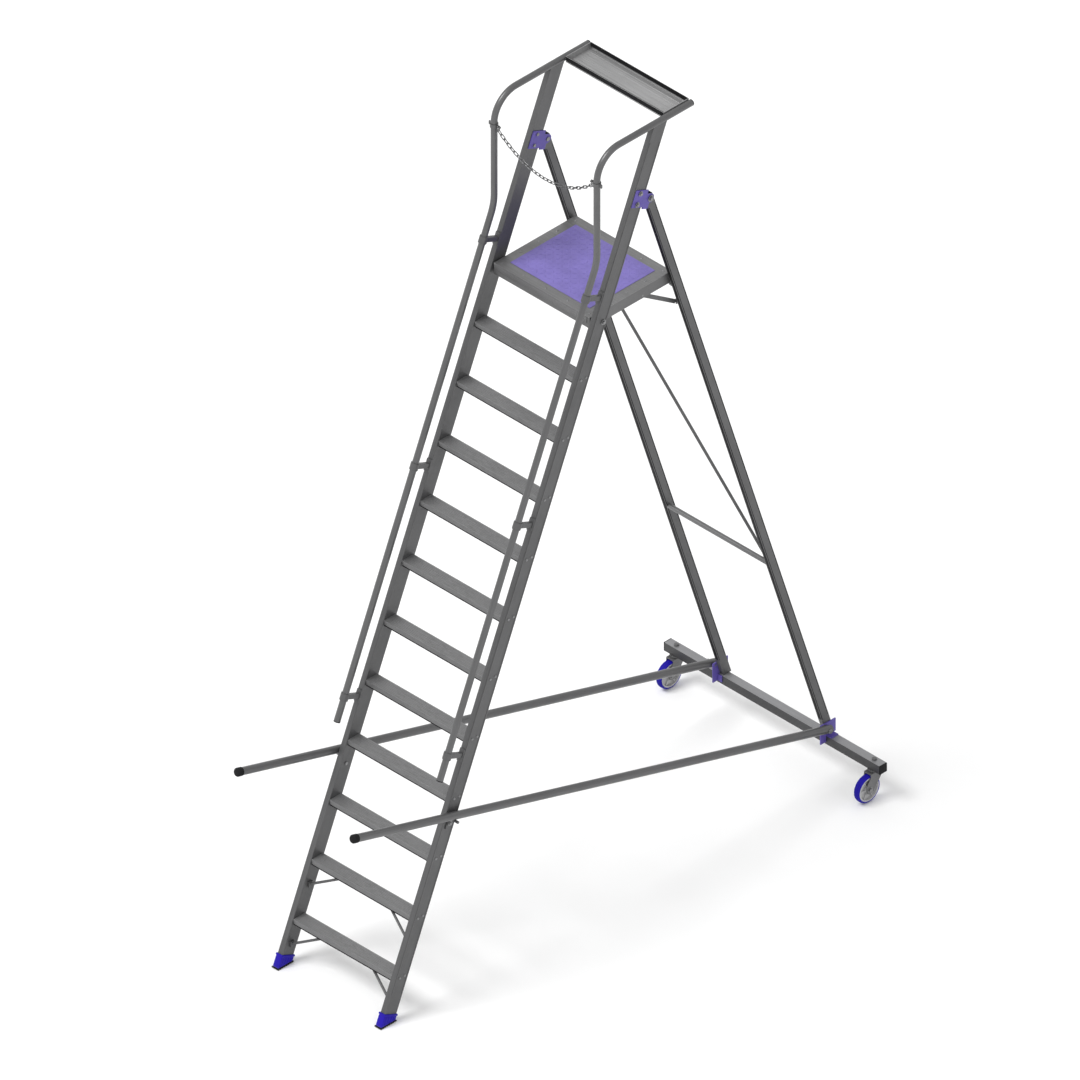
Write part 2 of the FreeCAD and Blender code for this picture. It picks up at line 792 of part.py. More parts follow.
def make_hinge_pins():
    pins = []
    for side in (-1, 1):
        start, end = side * (inner_face - cheek), side * (outer_face + cheek)
        pins.append(pinned(size("dims.hinge_pin"), 9, start, end, hinge_y - origin_y, hinge_z, side))
    return solids("hinge_pins", pins)


def make_bracket_bolts():
    """Through bolts of the hinge brackets and the handle saddles."""
    bolts = []
    for side in (-1, 1):
        for number, along in enumerate(bolt_stations()):
            y, z = on_stile(0, along)
            thick = cheek if number < 2 else 0
            start, end = side * (inner_face - thick), side * (outer_face + (thick or saddle_plate))
            bolts.append(pinned(size("dims.bolt_radius"), 7, start, end, y - origin_y, z, side))
    return solids("bracket_bolts", bolts)


def make_mid_crossbar():
    down = (hinge_z - size("dims.crossbar_up")) / sine(leg_angle)
    frame = inside(leg_frame(0, down), -leg_inner, -size("dims.crossbar_ahead"), 0, ALONG_X)
    return node("mid_crossbar", tube("crossbar", "dims.crossbar_radius", "dims.tube_wall",
                                     str(2 * leg_inner), frame))


def make_diagonal_brace():
    """A rod between the legs, from high on the left to low on the right, with a lug on each leg."""
    high = (hinge_z - size("dims.diagonal_high")) / sine(leg_angle)
    low = (hinge_z - size("dims.diagonal_low")) / sine(leg_angle)
    behind = size("dims.diagonal_behind")
    lug_thick, lug_wide, lug_tall, lug_shift, end_gap = 4, 14, 60, 12, 7
    frame = leg_frame(0, high)
    run = Vector(2 * leg_inner, 0, high - low)
    trim = run * (end_gap / run.x)
    start = Vector(-leg_inner, behind, 0) + trim
    turn = Rotation(Vector(0, 0, 1), run)
    bar = rod("diagonal_bar", "dims.diagonal_radius", str((run - trim * 2).Length),
              frame.multiply(Placement(start, turn)))
    lugs = []
    for side, z in ((-1, -lug_shift), (1, high - low + lug_shift)):
        place = inside(frame, side * (leg_inner - lug_thick / 2), behind, z)
        lugs.append(box(f"diagonal_lug_{side + 1}", str(lug_thick), str(lug_wide), str(lug_tall), place,
                        (True, True, True)))
    return node("diagonal_brace", join("diagonal", bar, *lugs))


def make_base_bar():
    frame = at(0, base_y, base_z)
    outer = box("base_outer", "dims.base_length", "dims.base_tall", "dims.base_tall", frame,
                (True, True, True))
    inner = box("base_inner", "dims.base_length + 20", "dims.base_tall - 2 * dims.base_wall",
                "dims.base_tall - 2 * dims.base_wall", frame, (True, True, True))
    holes = []
    for side in (-1, 1):
        x = side * size("dims.castor_spacing") / 2
        holes.append(rod(f"stem_hole_{side + 1}", "6.05", "100", at(x, base_y, base_z - 50)))
    return node("base_bar", cut("base", outer, inner, *holes))


def make_base_caps():
    caps = []
    inset = 18
    for side in (-1, 1):
        x = side * size("dims.base_length") / 2
        face = box(f"end_face_{side + 1}", "4", "dims.base_tall", "dims.base_tall",
                   at(x + side * 2, base_y, base_z), (True, True, True))
        plug = box(f"end_plug_{side + 1}", str(inset), "dims.base_tall - 2 * dims.base_wall",
                   "dims.base_tall - 2 * dims.base_wall",
                   at(x - side * inset / 2, base_y, base_z), (True, True, True))
        caps.append(join(f"end_cap_{side + 1}", face, plug))
    return node("base_bar_caps", group("base_cap_pair", caps))


base_cheek = 5


def make_base_brackets():
    """Outer plates that hold each leg on the base bar and carry the handle's stud."""
    brackets = []
    bar_half = size("dims.base_tall") / 2
    top, front = base_z + bar_half, base_y - bar_half
    deep, skirt, web = bar_half * 2 + bracket_ahead + bracket_behind, 30, 4
    for side in (-1, 1):
        tag = f"base_bracket_{side + 1}"
        middle = side * (leg_outer + base_cheek / 2)
        wide = size("dims.leg_width") + base_cheek
        pieces = [
            box(tag + "_cheek", str(base_cheek), str(deep), str(bracket_rise),
                at(middle, front - bracket_ahead, top), (True, False, False)),
            box(tag + "_skirt", str(base_cheek), str(bracket_ahead), str(skirt),
                at(middle, front - bracket_ahead, top - skirt), (True, False, False)),
            box(tag + "_web", str(wide), str(web), str(skirt),
                at(side * (leg_inner + wide / 2), front - web, top - skirt), (True, False, False)),
            box(tag + "_tab", "30", str(bar_half * 2), str(web),
                at(side * (leg_outer + base_cheek + 14), base_y, top)),
        ]
        stud = rod_x(tag + "_stud", "dims.handle_pivot", side * (leg_outer - 5), side * (leg_outer + 20),
                     handle_y - origin_y, handle_z)
        brackets.append(cut(tag, join(tag + "_solid", *pieces), stud))
    return node("base_brackets", group("base_bracket_pair", brackets))


handle_x = stile_x + size("dims.handle_side")


def make_handle_studs():
    """Shouldered studs that the lift handles turn on."""
    studs = []
    radius = size("dims.handle_pivot")
    y = handle_y - origin_y
    near = handle_x - size("dims.handle_radius")
    far = handle_x + size("dims.handle_radius")
    for side in (-1, 1):
        pieces = []
        shoulder = leg_outer + base_cheek
        for a, b, r in ((leg_outer, far + 4, radius), (shoulder, near - 0.3, 12), (far + 0.3, far + 5, 9)):
            low = min(side * a, side * b)
            pieces.append(Part.makeCylinder(r, b - a, Vector(low, y, handle_z), X_AXIS))
        studs.append(pieces[0].multiFuse(pieces[1:]).removeSplitter())
    return solids("handle_studs", studs)


def make_leg_studs():
    """Studs on the legs' inner faces: platform rests, and headed pegs for the stay hooks."""
    studs = []
    rest_y, rest_z = rest_place
    peg_y, peg_z = peg_place
    rest_end = rail_outer - size("dims.rail_thick")
    peg_end = stay_x - 3.5
    for side in (-1, 1):
        levels = [[(8, leg_inner, rest_end, rest_y, rest_z)],
                  [(stay_peg, leg_inner, peg_end, peg_y, peg_z), (8, peg_end, peg_end - 3, peg_y, peg_z)]]
        for stud in levels:
            pieces = []
            for radius, start, end, y, z in stud:
                low = min(side * start, side * end)
                pieces.append(Part.makeCylinder(radius, start - end, Vector(low, y - origin_y, z), X_AXIS))
            studs.append(pieces[0] if len(pieces) == 1 else pieces[0].fuse(pieces[1]).removeSplitter())
    return solids("leg_studs", studs)


# ---------------------------------------------------------------- platform and stays
deck_front = platform_top / math.tan(math.radians(climb)) - stile_half / sine(climb)
pivot_z = platform_top - size("dims.pivot_drop")
pivot_y = pivot_z / math.tan(math.radians(climb)) + size("dims.pivot_set") / sine(climb)
rail_outer = size("dims.platform_width") / 2
rail_bottom = platform_top - size("dims.deck_thick") - size("dims.rail_tall")
stay_peg, hook_gap = 5, 1.5
stay_x = rail_outer - size("dims.rail_thick") - 6
rest_place = (deck_front + size("dims.platform_length") - 3, rail_bottom - 8)
peg_down, peg_ahead = 647, 12
peg_place = (hinge_y + peg_down * cosine(leg_angle) - peg_ahead * sine(leg_angle),
             hinge_z - peg_down * sine(leg_angle) - peg_ahead * cosine(leg_angle))
stay_place = (pivot_y + 253.8, rail_bottom + 12)


def make_platform_frame():
    """Side rails with a nosing and a rear member, joined into one frame."""
    tall, thick = "dims.rail_tall", "dims.rail_thick"
    members = []
    for side in (-1, 1):
        members.append(box(f"platform_side_{side + 1}", thick, "dims.platform_length", tall,
                           at(side * (rail_outer - size(thick) / 2), deck_front, rail_bottom),
                           (True, False, False)))
    for tag, y in (("front", deck_front), ("back", deck_front + size("dims.platform_length") - size(thick))):
        members.append(box(f"platform_{tag}", "dims.platform_width", thick, tall,
                           at(0, y, rail_bottom), (True, False, False)))
    bore = rod_x("platform_bore", "dims.pivot_radius + dims.running_gap", -rail_outer - 5, rail_outer + 5,
                 pivot_y - origin_y, pivot_z)
    studs = rod_x("stay_bore", "4", -rail_outer - 5, rail_outer + 5, stay_place[0] - origin_y, stay_place[1])
    return node("platform_frame", cut("platform_rails", join("platform_members", *members), bore, studs))


def make_platform_deck():
    top = platform_top - size("dims.deck_thick")
    return node("platform_deck", box("deck", "dims.platform_width", "dims.platform_length", "dims.deck_thick",
                                     at(0, deck_front, top), (True, False, False)))


def make_platform_mat():
    frame = at(0, deck_front + size("dims.mat_margin"), platform_top)
    return node("platform_mat", box("mat", "dims.platform_width - 2 * dims.mat_margin",
                                    "dims.platform_length - 2 * dims.mat_margin", "dims.mat_thick", frame,
                                    (True, False, False)))


def make_platform_pivots():
    """Bolts through the stiles that the platform frame turns on."""
    pivots = []
    for side in (-1, 1):
        start, end = side * (rail_outer - size("dims.rail_thick")), side * outer_face
        y = pivot_y - origin_y
        low = min(start - side * 6, end)
        body = Part.makeCylinder(size("dims.pivot_radius"), abs(end - start) + 6, Vector(low, y, pivot_z),
                                 X_AXIS)
        collars = ((end, end + side * 4, 9), (side * (rail_outer + 0.5), side * inner_face, 9),
                   (start - side * 0.5, start - side * 6, 9))
        for a, b, radius in collars:
            body = body.fuse(Part.makeCylinder(radius, abs(b - a), Vector(min(a, b), y, pivot_z), X_AXIS))
        pivots.append(body.removeSplitter())
    return solids("platform_pivots", pivots)


def make_stay_studs():
    """Rivets on the platform frame that the stays turn on."""
    studs = []
    y, z = stay_place[0] - origin_y, stay_place[1]
    face = rail_outer - size("dims.rail_thick")
    for side in (-1, 1):
        low = min(side * rail_outer, side * (rail_outer - 18))
        body = Part.makeCylinder(4, 18, Vector(low, y, z), X_AXIS)
        for a, b in ((face, face - 3), (face - 9, face - 12)):
            body = body.fuse(Part.makeCylinder(7, 3, Vector(min(side * a, side * b), y, z), X_AXIS))
        studs.append(body.removeSplitter())
    return solids("stay_studs", studs)


def make_stay(name, side):
    """A flat link from the platform frame, with a hooked end that drops over the leg's peg."""
    run = Vector(0, peg_place[0] - stay_place[0], peg_place[1] - stay_place[1])
    angle = math.degrees(math.atan2(run.z, run.y))
    frame = side_frame(side * stay_x, *stay_place, angle)
    width = 18
    bar = box(name + "_bar", "5", str(width), str(run.Length), frame)
    eye = rod(name + "_eye", str(width / 2), "5", inside(frame, -2.5, 0, 0, ALONG_X))
    hook = rod(name + "_hook", "12", "5", inside(frame, -2.5, 0, run.Length, ALONG_X))
    bore = rod(name + "_bore", "4 + dims.running_gap", "20", inside(frame, -10, 0, 0, ALONG_X))
    seat_radius = stay_peg + hook_gap
    seat = rod(name + "_seat", str(seat_radius), "20", inside(frame, -10, 0, run.Length, ALONG_X))
    mouth = box(name + "_mouth", "20", "30", str(2 * seat_radius),
                inside(frame, -10, 0, run.Length - seat_radius), (False, False, False))
    return node(name, cut(name + "_link", join(name + "_solid", bar, eye, hook), bore, seat, mouth))


# ---------------------------------------------------------------- lift handles
def make_handle(name, side):
    """A straight tube that turns on its stud and rests in the stile's saddle."""
    tail = 20
    body = tube(name, "dims.handle_radius", "dims.handle_wall", f"dims.handle_reach + {tail}",
                inside(handle_frame(side), 0, 0, -tail))
    hole = new_sketch(body, name + "_hole", "YZ_Plane")
    ring(hole, "0", str(tail), "dims.handle_pivot + dims.running_gap")
    pocket(body, hole, "4 * dims.handle_radius")
    return node(name, body)


def make_handle_cap(name, side):
    """A dark cup over the tube's front end."""
    frame = handle_frame(side, cap_end - size("dims.handle_cap"))
    outer = rod(name + "_outer", "dims.handle_radius + 1.5", "dims.handle_cap", frame)
    bore = rod(name + "_bore", "dims.handle_radius", "dims.handle_cap - 6", frame)
    return node(name, cut(name + "_cup", outer, bore))


saddle_plate = 5
saddle_drop = 42


def saddle_place():
    """Where the handle's axis crosses the stile's centreline in the side view."""
    slope, climb_slope = math.tan(math.radians(handle_angle)), math.tan(math.radians(climb))
    y = (handle_z + handle_y * slope) / (climb_slope + slope)
    return y, y * climb_slope


def saddle_bolt_station():
    """Distance up the stile of the saddle's bolt, below the handle's axis."""
    return saddle_place()[1] / sine(climb) - saddle_drop


def make_handle_saddles():
    """Plates on the stiles' outer faces, each with a peg that the lift handle lies on."""
    saddles = []
    along = (handle_y - saddle_place()[0]) / cosine(handle_angle)
    gap, peg_radius, overhang = 0.5, 6, 3
    under = size("dims.handle_radius") + gap + peg_radius
    rim = handle_x + size("dims.handle_radius") + overhang
    for side in (-1, 1):
        frame = handle_frame(side, along)
        tag = f"saddle_{side + 1}"
        lug = box(tag + "_lug", str(saddle_plate), "30", "52",
                  inside(stile_frame(side), side * (outer_face - stile_x + saddle_plate / 2), 0,
                         saddle_bolt_station()), (True, True, True))
        start = side * (outer_face if side > 0 else rim) - side * handle_x
        peg = rod(tag + "_peg", str(peg_radius), str(rim - outer_face),
                  inside(frame, start, -under, 0, ALONG_X))
        bolt_hole = rod(tag + "_bolt", "dims.bolt_radius", "100",
                        inside(stile_frame(side), -50, 0, saddle_bolt_station(), ALONG_X))
        saddles.append(cut(tag, join(tag + "_solid", lug, peg), bolt_hole))
    return node("handle_saddles", group("saddle_pair", saddles))


# ---------------------------------------------------------------- castors
crown_top, crown_under, race_top = 133.6, 128.4, 137.0
nut_low, housing_radius = 119.0, 28


def make_castor_housings():
    """Fixed upper halves of the castors: stem, nut, ball race and kingpin."""
    housings = []
    bar_under = base_z - size("dims.base_tall") / 2
    bar_top = base_z + size("dims.base_tall") / 2
    levels = (
        (9, nut_low, crown_under - 0.2), (6, nut_low, bar_under), (24, crown_top + 0.2, race_top),
        (housing_radius, race_top, bar_under),
        (6, bar_under, bar_top + 8), (10, bar_top, bar_top + 7),
    )
    for side in (-1, 1):
        x = side * size("dims.castor_spacing") / 2
        pieces = []
        for radius, low, high in levels:
            pieces.append(Part.makeCylinder(radius, high - low, Vector(x, base_y - origin_y, low)))
        housings.append(pieces[0].multiFuse(pieces[1:]).removeSplitter())
    return solids("castor_housings", housings)


def make_fork(name, side):
    """A swivel fork: crown plate on the kingpin and two raked side plates down to the axle."""
    x = side * size("dims.castor_spacing") / 2
    half_gap = size("dims.fork_gap") / 2
    crown = box(name + "_crown", "dims.fork_gap + 2 * dims.fork_plate", "64", str(crown_top - crown_under),
                at(x, base_y - 6, crown_under))
    pieces = [crown]
    axle_z = size("dims.wheel_radius")
    for tag, start in (("a", half_gap), ("b", -half_gap - size("dims.fork_plate"))):
        plate = new_body(f"{name}_{tag}", at(x + start, base_y, 0))
        sketch = new_sketch(plate, f"{name}_{tag}_sketch", "YZ_Plane")
        outline(sketch, [
            ("-38", str(crown_top)), ("26", str(crown_top)), ("26", str(crown_under - 12)),
            ("18 - dims.trail", str(axle_z - 12)), ("-18 - dims.trail", str(axle_z - 12)),
            ("-20 - dims.trail", str(axle_z + 20)), ("-38", str(crown_under - 10)),
        ])
        pad(plate, sketch, "dims.fork_plate")
        pieces.append(plate)
        pieces.append(rod(f"{name}_{tag}_boss", "19", "dims.fork_plate",
                          at(x + start, base_y - size("dims.trail"), axle_z, ALONG_X)))
    axle = rod(name + "_axle_hole", "dims.axle_radius", "80",
               at(x - 40, base_y - size("dims.trail"), axle_z, ALONG_X))
    kingpin = rod(name + "_kingpin_hole", "6 + dims.running_gap", "60", at(x, base_y, 120))
    return node(name, cut(name + "_plates", join(name + "_solid", *pieces), axle, kingpin))


def wheel_frame(side):
    return at(side * size("dims.castor_spacing") / 2, base_y - size("dims.trail"), size("dims.wheel_radius"))


def revolved(name, frame, corners):
    """A turned piece about the frame's X axis, from corners of (width, radius)."""
    body = new_body(name, frame)
    sketch = new_sketch(body, name + "_profile", "XZ_Plane")
    outline(sketch, corners)
    made = body.newObject("PartDesign::Revolution", name + "_turned")
    made.Profile = sketch
    made.ReferenceAxis = (sketch, ["H_Axis"])
    made.Angle = 360
    body.Tip = made
    doc.recompute()
    return body


def make_wheel(name, side):
    bore = "dims.axle_radius + dims.running_gap"
    rim, lip = "dims.rim_radius", "dims.rim_radius - 9"
    return node(name, revolved(name, wheel_frame(side), [
        ("-16.5", bore), ("-16.5", "14"), ("-5", "16"), ("-5", lip), ("-13", lip), ("-13", rim),
        ("13", rim), ("13", lip), ("5", lip), ("5", "16"), ("16.5", "14"), ("16.5", bore),
    ]))


def make_tyre(name, side):
    half, low, high = "dims.wheel_width / 2", "dims.rim_radius", "dims.wheel_radius"
    return node(name, revolved(name, wheel_frame(side), [
        (f"-{half}", low), (f"-{half}", f"{high} - 7"), (f"3 - {half}", f"{high} - 2"), (f"7 - {half}", high),
        (f"{half} - 7", high), (f"{half} - 3", f"{high} - 2"), (half, f"{high} - 7"), (half, low),
    ]))


def make_axle(name, side):
    """A bolt through the fork, with a head outside and a nut inside."""
    half = size("dims.fork_gap") / 2 + size("dims.fork_plate")
    x = side * size("dims.castor_spacing") / 2
    y, z = base_y - size("dims.trail") - origin_y, size("dims.wheel_radius")
    shank = Part.makeCylinder(size("dims.axle_radius"), 2 * half, Vector(x - half, y, z), X_AXIS)
    for start in (x - half - 5, x + half):
        shank = shank.fuse(Part.makeCylinder(8.5, 5, Vector(start, y, z), X_AXIS))
    return solids(name, [shank.removeSplitter()])


# ---------------------------------------------------------------- assembly
for side, word in ((-1, "left"), (1, "right")):
    make_stile(f"{word}_stile", side)
    make_shoe(f"{word}_shoe", side)
    make_handrail(f"{word}_handrail", side)
    make_leg(f"{word}_leg", side)
    make_stay(f"{word}_stay", side)
    make_handle(f"{word}_handle", side)
    make_handle_cap(f"{word}_handle_cap", side)
    make_fork(f"{word}_castor_fork", side)
    make_wheel(f"{word}_castor_wheel", side)
    make_tyre(f"{word}_castor_tyre", side)
    make_axle(f"{word}_castor_axle", side)
for number in range(1, step_count + 1):
    make_step(number)
make_step_bolts()
make_soles()
make_step_braces()
make_stile_caps()
make_rail_brackets()
make_rail_end_caps()
make_tool_tray()
make_chain_eyes()
make_safety_chain()
make_leg_bushes()
make_hinge_brackets()
make_hinge_pins()
make_bracket_bolts()
make_mid_crossbar()
make_diagonal_brace()
make_base_bar()
make_base_caps()
make_base_brackets()
make_handle_studs()
make_leg_studs()
make_platform_frame()
make_platform_deck()
make_platform_mat()
make_platform_pivots()
make_stay_studs()
make_handle_saddles()
make_castor_housings()

doc.recompute()
for thing in doc.Objects:
    if "Invalid" in thing.State or "Error" in thing.State:
        raise RuntimeError(f"{thing.Label} failed: {thing.State}")
os.makedirs("parts", exist_ok=True)
for name, made in nodes.items():
    shape = made.Shape
    if shape.isNull() or not shape.isValid():
        raise RuntimeError(f"{name} has no valid shape")
    shape.exportStep(f"parts/{name}.step")
print(len(nodes), "nodes")
print("hinge", hinge_y - origin_y, hinge_z, "handle pivot", handle_y - origin_y, handle_z)
print("platform pivot", pivot_y - origin_y, pivot_z, "stay", stay_place[0] - origin_y, stay_place[1])
print("castor", size("dims.castor_spacing") / 2, base_y - origin_y,
      "axle", base_y - size("dims.trail") - origin_y)
print("chain", size("dims.rail_front") - origin_y, size("dims.chain_up"), "origin", origin_y)
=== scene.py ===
import math

import bmesh
import bpy
from mathutils import Matrix, Vector


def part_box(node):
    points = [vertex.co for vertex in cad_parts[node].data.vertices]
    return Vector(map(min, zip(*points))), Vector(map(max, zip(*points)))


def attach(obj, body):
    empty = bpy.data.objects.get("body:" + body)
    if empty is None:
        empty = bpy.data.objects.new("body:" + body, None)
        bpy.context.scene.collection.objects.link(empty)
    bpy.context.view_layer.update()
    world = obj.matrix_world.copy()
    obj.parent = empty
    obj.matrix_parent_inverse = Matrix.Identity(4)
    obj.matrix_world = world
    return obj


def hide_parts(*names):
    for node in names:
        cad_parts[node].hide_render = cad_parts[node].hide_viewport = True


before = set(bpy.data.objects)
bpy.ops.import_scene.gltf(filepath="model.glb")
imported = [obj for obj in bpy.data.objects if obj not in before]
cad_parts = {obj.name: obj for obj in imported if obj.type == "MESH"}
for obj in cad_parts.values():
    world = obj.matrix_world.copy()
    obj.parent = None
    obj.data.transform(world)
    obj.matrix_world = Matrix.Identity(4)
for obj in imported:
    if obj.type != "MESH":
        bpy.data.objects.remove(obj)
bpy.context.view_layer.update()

# ---------------------------------------------------------------- directions and places read from the frame
X, Y, Z = Vector((1, 0, 0)), Vector((0, 1, 0)), Vector((0, 0, 1))
SIDES = (("left", -1), ("right", 1))
LEG_TILT = math.radians(71.9)
HANDLE_TILT = math.radians(16.7)
SHARP = math.radians(35)
STEPS = range(1, 12)


def corners(node):
    low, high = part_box(node)
    return Vector(low), Vector(high)


def middle(node):
    low, high = corners(node)
    return (low + high) / 2


def extent(node, direction):
    """How far a CAD node reaches along a direction, as its lowest and highest value."""
    values = [v.co.dot(direction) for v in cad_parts[node].data.vertices]
    return min(values), max(values)


first_step, last_step = corners("step_01")[0], corners("step_11")[0]
climb = math.atan2(last_step.z - first_step.z, last_step.y - first_step.y)
UP_STILE = Vector((0, math.cos(climb), math.sin(climb)))
OFF_STILE = Vector((0, -math.sin(climb), math.cos(climb)))
UP_LEG = Vector((0, -math.cos(LEG_TILT), math.sin(LEG_TILT)))
OFF_LEG = Vector((0, math.sin(LEG_TILT), math.cos(LEG_TILT)))
ALONG_HANDLE = Vector((0, -math.cos(HANDLE_TILT), math.sin(HANDLE_TILT)))
OFF_HANDLE = Vector((0, math.sin(HANDLE_TILT), math.cos(HANDLE_TILT)))


def basis(origin, first, second, third):
    """A placement whose own x, y and z run along the three directions."""
    return Matrix.Translation(origin) @ Matrix((first, second, third)).transposed().to_4x4()


def solids_of(node):
    """The boxes of a CAD node's separate solids, as (low, high) pairs."""
    bm = bmesh.new()
    bm.from_mesh(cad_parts[node].data)
    bmesh.ops.remove_doubles(bm, verts=bm.verts, dist=1e-5)
    left, found = set(bm.verts), []
    while left:
        stack = [left.pop()]
        group = list(stack)
        while stack:
            for edge in stack.pop().link_edges:
                for vert in edge.verts:
                    if vert in left:
                        left.remove(vert)
                        stack.append(vert)
                        group.append(vert)
        low = Vector([min(v.co[i] for v in group) for i in range(3)])
        high = Vector([max(v.co[i] for v in group) for i in range(3)])
        found.append((low, high))
    bm.free()
    return sorted(found, key=lambda pair: tuple(round(n, 4) for n in pair[0]))


# ---------------------------------------------------------------- material nodes
class Graph:
    """A material's node tree, with a Principled shader at its end."""

    def __init__(self, name):
        self.material = bpy.data.materials.new(name)
        self.material.use_nodes = True
        self.tree = self.material.node_tree
        self.tree.nodes.clear()
        self.shader = self.add("BsdfPrincipled")
        output = self.add("OutputMaterial")
        self.tree.links.new(self.shader.outputs[0], output.inputs[0])

    def add(self, kind, inputs=None, **settings):
        node = self.tree.nodes.new("ShaderNode" + kind)
        for key, value in settings.items():
            setattr(node, key, value)
        for key, value in (inputs or {}).items():
            self.put(node.inputs[key], value)
        return node

    def put(self, socket, value):
        if isinstance(value, bpy.types.NodeSocket):
            self.tree.links.new(value, socket)
        else:
            socket.default_value = value

    def end(self, **inputs):
        for key, value in inputs.items():
            self.put(self.shader.inputs[key.replace("_", " ")], value)
        return self.material

    def maths(self, operation, first, second=0.0):
        node = self.add("Math", {0: first, 1: second}, operation=operation)
        return node.outputs[0]

    def span(self, value, low, high, to_low=0.0, to_high=1.0):
        node = self.add("MapRange", {"Value": value, "From Min": low, "From Max": high,
                                     "To Min": to_low, "To Max": to_high})
        return node.outputs[0]

    def mix(self, share, first, second):
        node = self.add("Mix", {0: share, 6: first, 7: second}, data_type="RGBA")
        return node.outputs[2]

    def place(self, tilt=0.0, stretch=(1, 1, 1)):
        """Object coordinates turned about X by tilt, then stretched."""
        coords = self.add("TexCoord").outputs["Object"]
        turned = self.add("Mapping", {"Vector": coords, "Rotation": (-tilt, 0, 0)})
        return self.add("Mapping", {"Vector": turned.outputs[0], "Scale": stretch}).outputs[0]

    def noise(self, place, scale, detail=3.0, rough=0.55):
        return self.add("TexNoise", {"Vector": place, "Scale": scale, "Detail": detail,
                                     "Roughness": rough}).outputs["Fac"]

    def edges(self, radius):
        """Rounded edge normal, and a mask that is 1 on worn corners."""
        rounded = self.add("Bevel", {"Radius": radius}, samples=4).outputs[0]
        true = self.add("NewGeometry").outputs["True Normal"]
        dot = self.add("VectorMath", {0: rounded, 1: true}, operation="DOT_PRODUCT").outputs["Value"]
        return rounded, self.span(dot, 0.985, 0.80)

    def painted_top_light(self, base, factor, patches):
        """Painted top light: multiplies the colour by a factor on faces that look upwards, unevenly,
        following patches.
        """
        upward = self.add("SeparateXYZ", {0: self.add("TexCoord").outputs["Normal"]}).outputs[2]
        share = self.maths("MULTIPLY", self.span(upward, 0.45, 0.9), self.span(patches, 0.25, 0.55, 0.8, 1.0))
        lighter = self.add("VectorMath", {0: base, 1: (factor,) * 3}, operation="MULTIPLY")
        return self.mix(share, base, lighter.outputs[0])

    def bump(self, height, strength, distance, normal):
        return self.add("Bump", {"Height": height, "Strength": strength, "Distance": distance,
                                 "Normal": normal}).outputs[0]


DUST = (0.34, 0.32, 0.29, 1.0)


def shade(colour, factor):
    return tuple(min(1.0, part * factor) for part in colour[:3]) + (1.0,)


def metal(name, colour, rough=0.42, metallic=0.55, tilt=0.0, grain=(1.0, 160.0, 160.0), wear=0.28,
          edge=0.0012, top=1.0):
    """Satin metal: fine draw lines along the grain, soft smudges, small nicks and bright worn corners.
    Faces that look upwards are painted lighter by the factor top, a painted top light."""
    graph = Graph(name)
    lines = graph.noise(graph.place(tilt, grain), 3.0, 4.0)
    smudge = graph.noise(graph.place(tilt), 5.0, 5.0, 0.62)
    nicks = graph.noise(graph.place(tilt), 210.0, 2.0)
    rounded, corner = graph.edges(edge)
    base = graph.mix(graph.span(lines, 0.3, 0.7), shade(colour, 0.86), shade(colour, 1.12))
    base = graph.mix(graph.span(smudge, 0.42, 0.72, 0.0, 0.42), base, shade(colour, 0.74))
    base = graph.mix(graph.maths("MULTIPLY", graph.span(nicks, 0.66, 0.72), 0.35), base, shade(colour, 1.45))
    # painted top light: faces that look upwards are lightened by the factor top
    if top != 1.0:
        base = graph.painted_top_light(base, top, smudge)
    broken = graph.maths("MULTIPLY", corner, graph.span(smudge, 0.35, 0.6, 0.25, 1.0))
    base = graph.mix(graph.maths("MULTIPLY", broken, wear), base, shade(colour, 1.9))
    roughness = graph.maths("ADD", graph.span(lines, 0.2, 0.8, rough - 0.07, rough + 0.07),
                            graph.span(smudge, 0.3, 0.7, -0.05, 0.1))
    normal = graph.bump(lines, 0.12, 0.0006, rounded)
    return graph.end(Base_Color=base, Metallic=metallic, Roughness=roughness, Normal=normal)


def plastic(name, colour, rough=0.45, grain=900.0, wear=0.22, dust_height=0.0, edge=0.0009, sheen=0.5):
    """Moulded plastic or rubber: leathery grain, scuffs, paler corners and dust low down."""
    graph = Graph(name)
    coords = graph.place()
    grains = graph.noise(coords, grain, 2.0)
    scuffs = graph.noise(graph.place(0.5, (40.0, 6.0, 40.0)), 2.0, 4.0, 0.65)
    cloud = graph.noise(coords, 9.0, 4.0)
    rounded, corner = graph.edges(edge)
    base = graph.mix(graph.span(cloud, 0.3, 0.7), shade(colour, 0.86), shade(colour, 1.13))
    pale = tuple(min(1.0, part * 1.5 + 0.015) for part in colour[:3]) + (1.0,)
    base = graph.mix(graph.span(scuffs, 0.6, 0.74, 0.0, 0.4), base, pale)
    base = graph.mix(graph.maths("MULTIPLY", corner, wear), base, pale)
    if dust_height:
        height = graph.add("SeparateXYZ", {0: graph.add("TexCoord").outputs["Object"]}).outputs[2]
        low = graph.span(height, dust_height, 0.0, 0.0, 0.5)
        share = graph.maths("MULTIPLY", low, graph.span(cloud, 0.35, 0.65))
        base = graph.mix(share, base, DUST)
    roughness = graph.span(scuffs, 0.3, 0.75, rough - 0.05, rough + 0.22)
    normal = graph.bump(grains, 0.22, 0.0005, rounded)
    return graph.end(Base_Color=base, Roughness=roughness, Normal=normal, Specular_IOR_Level=sheen)


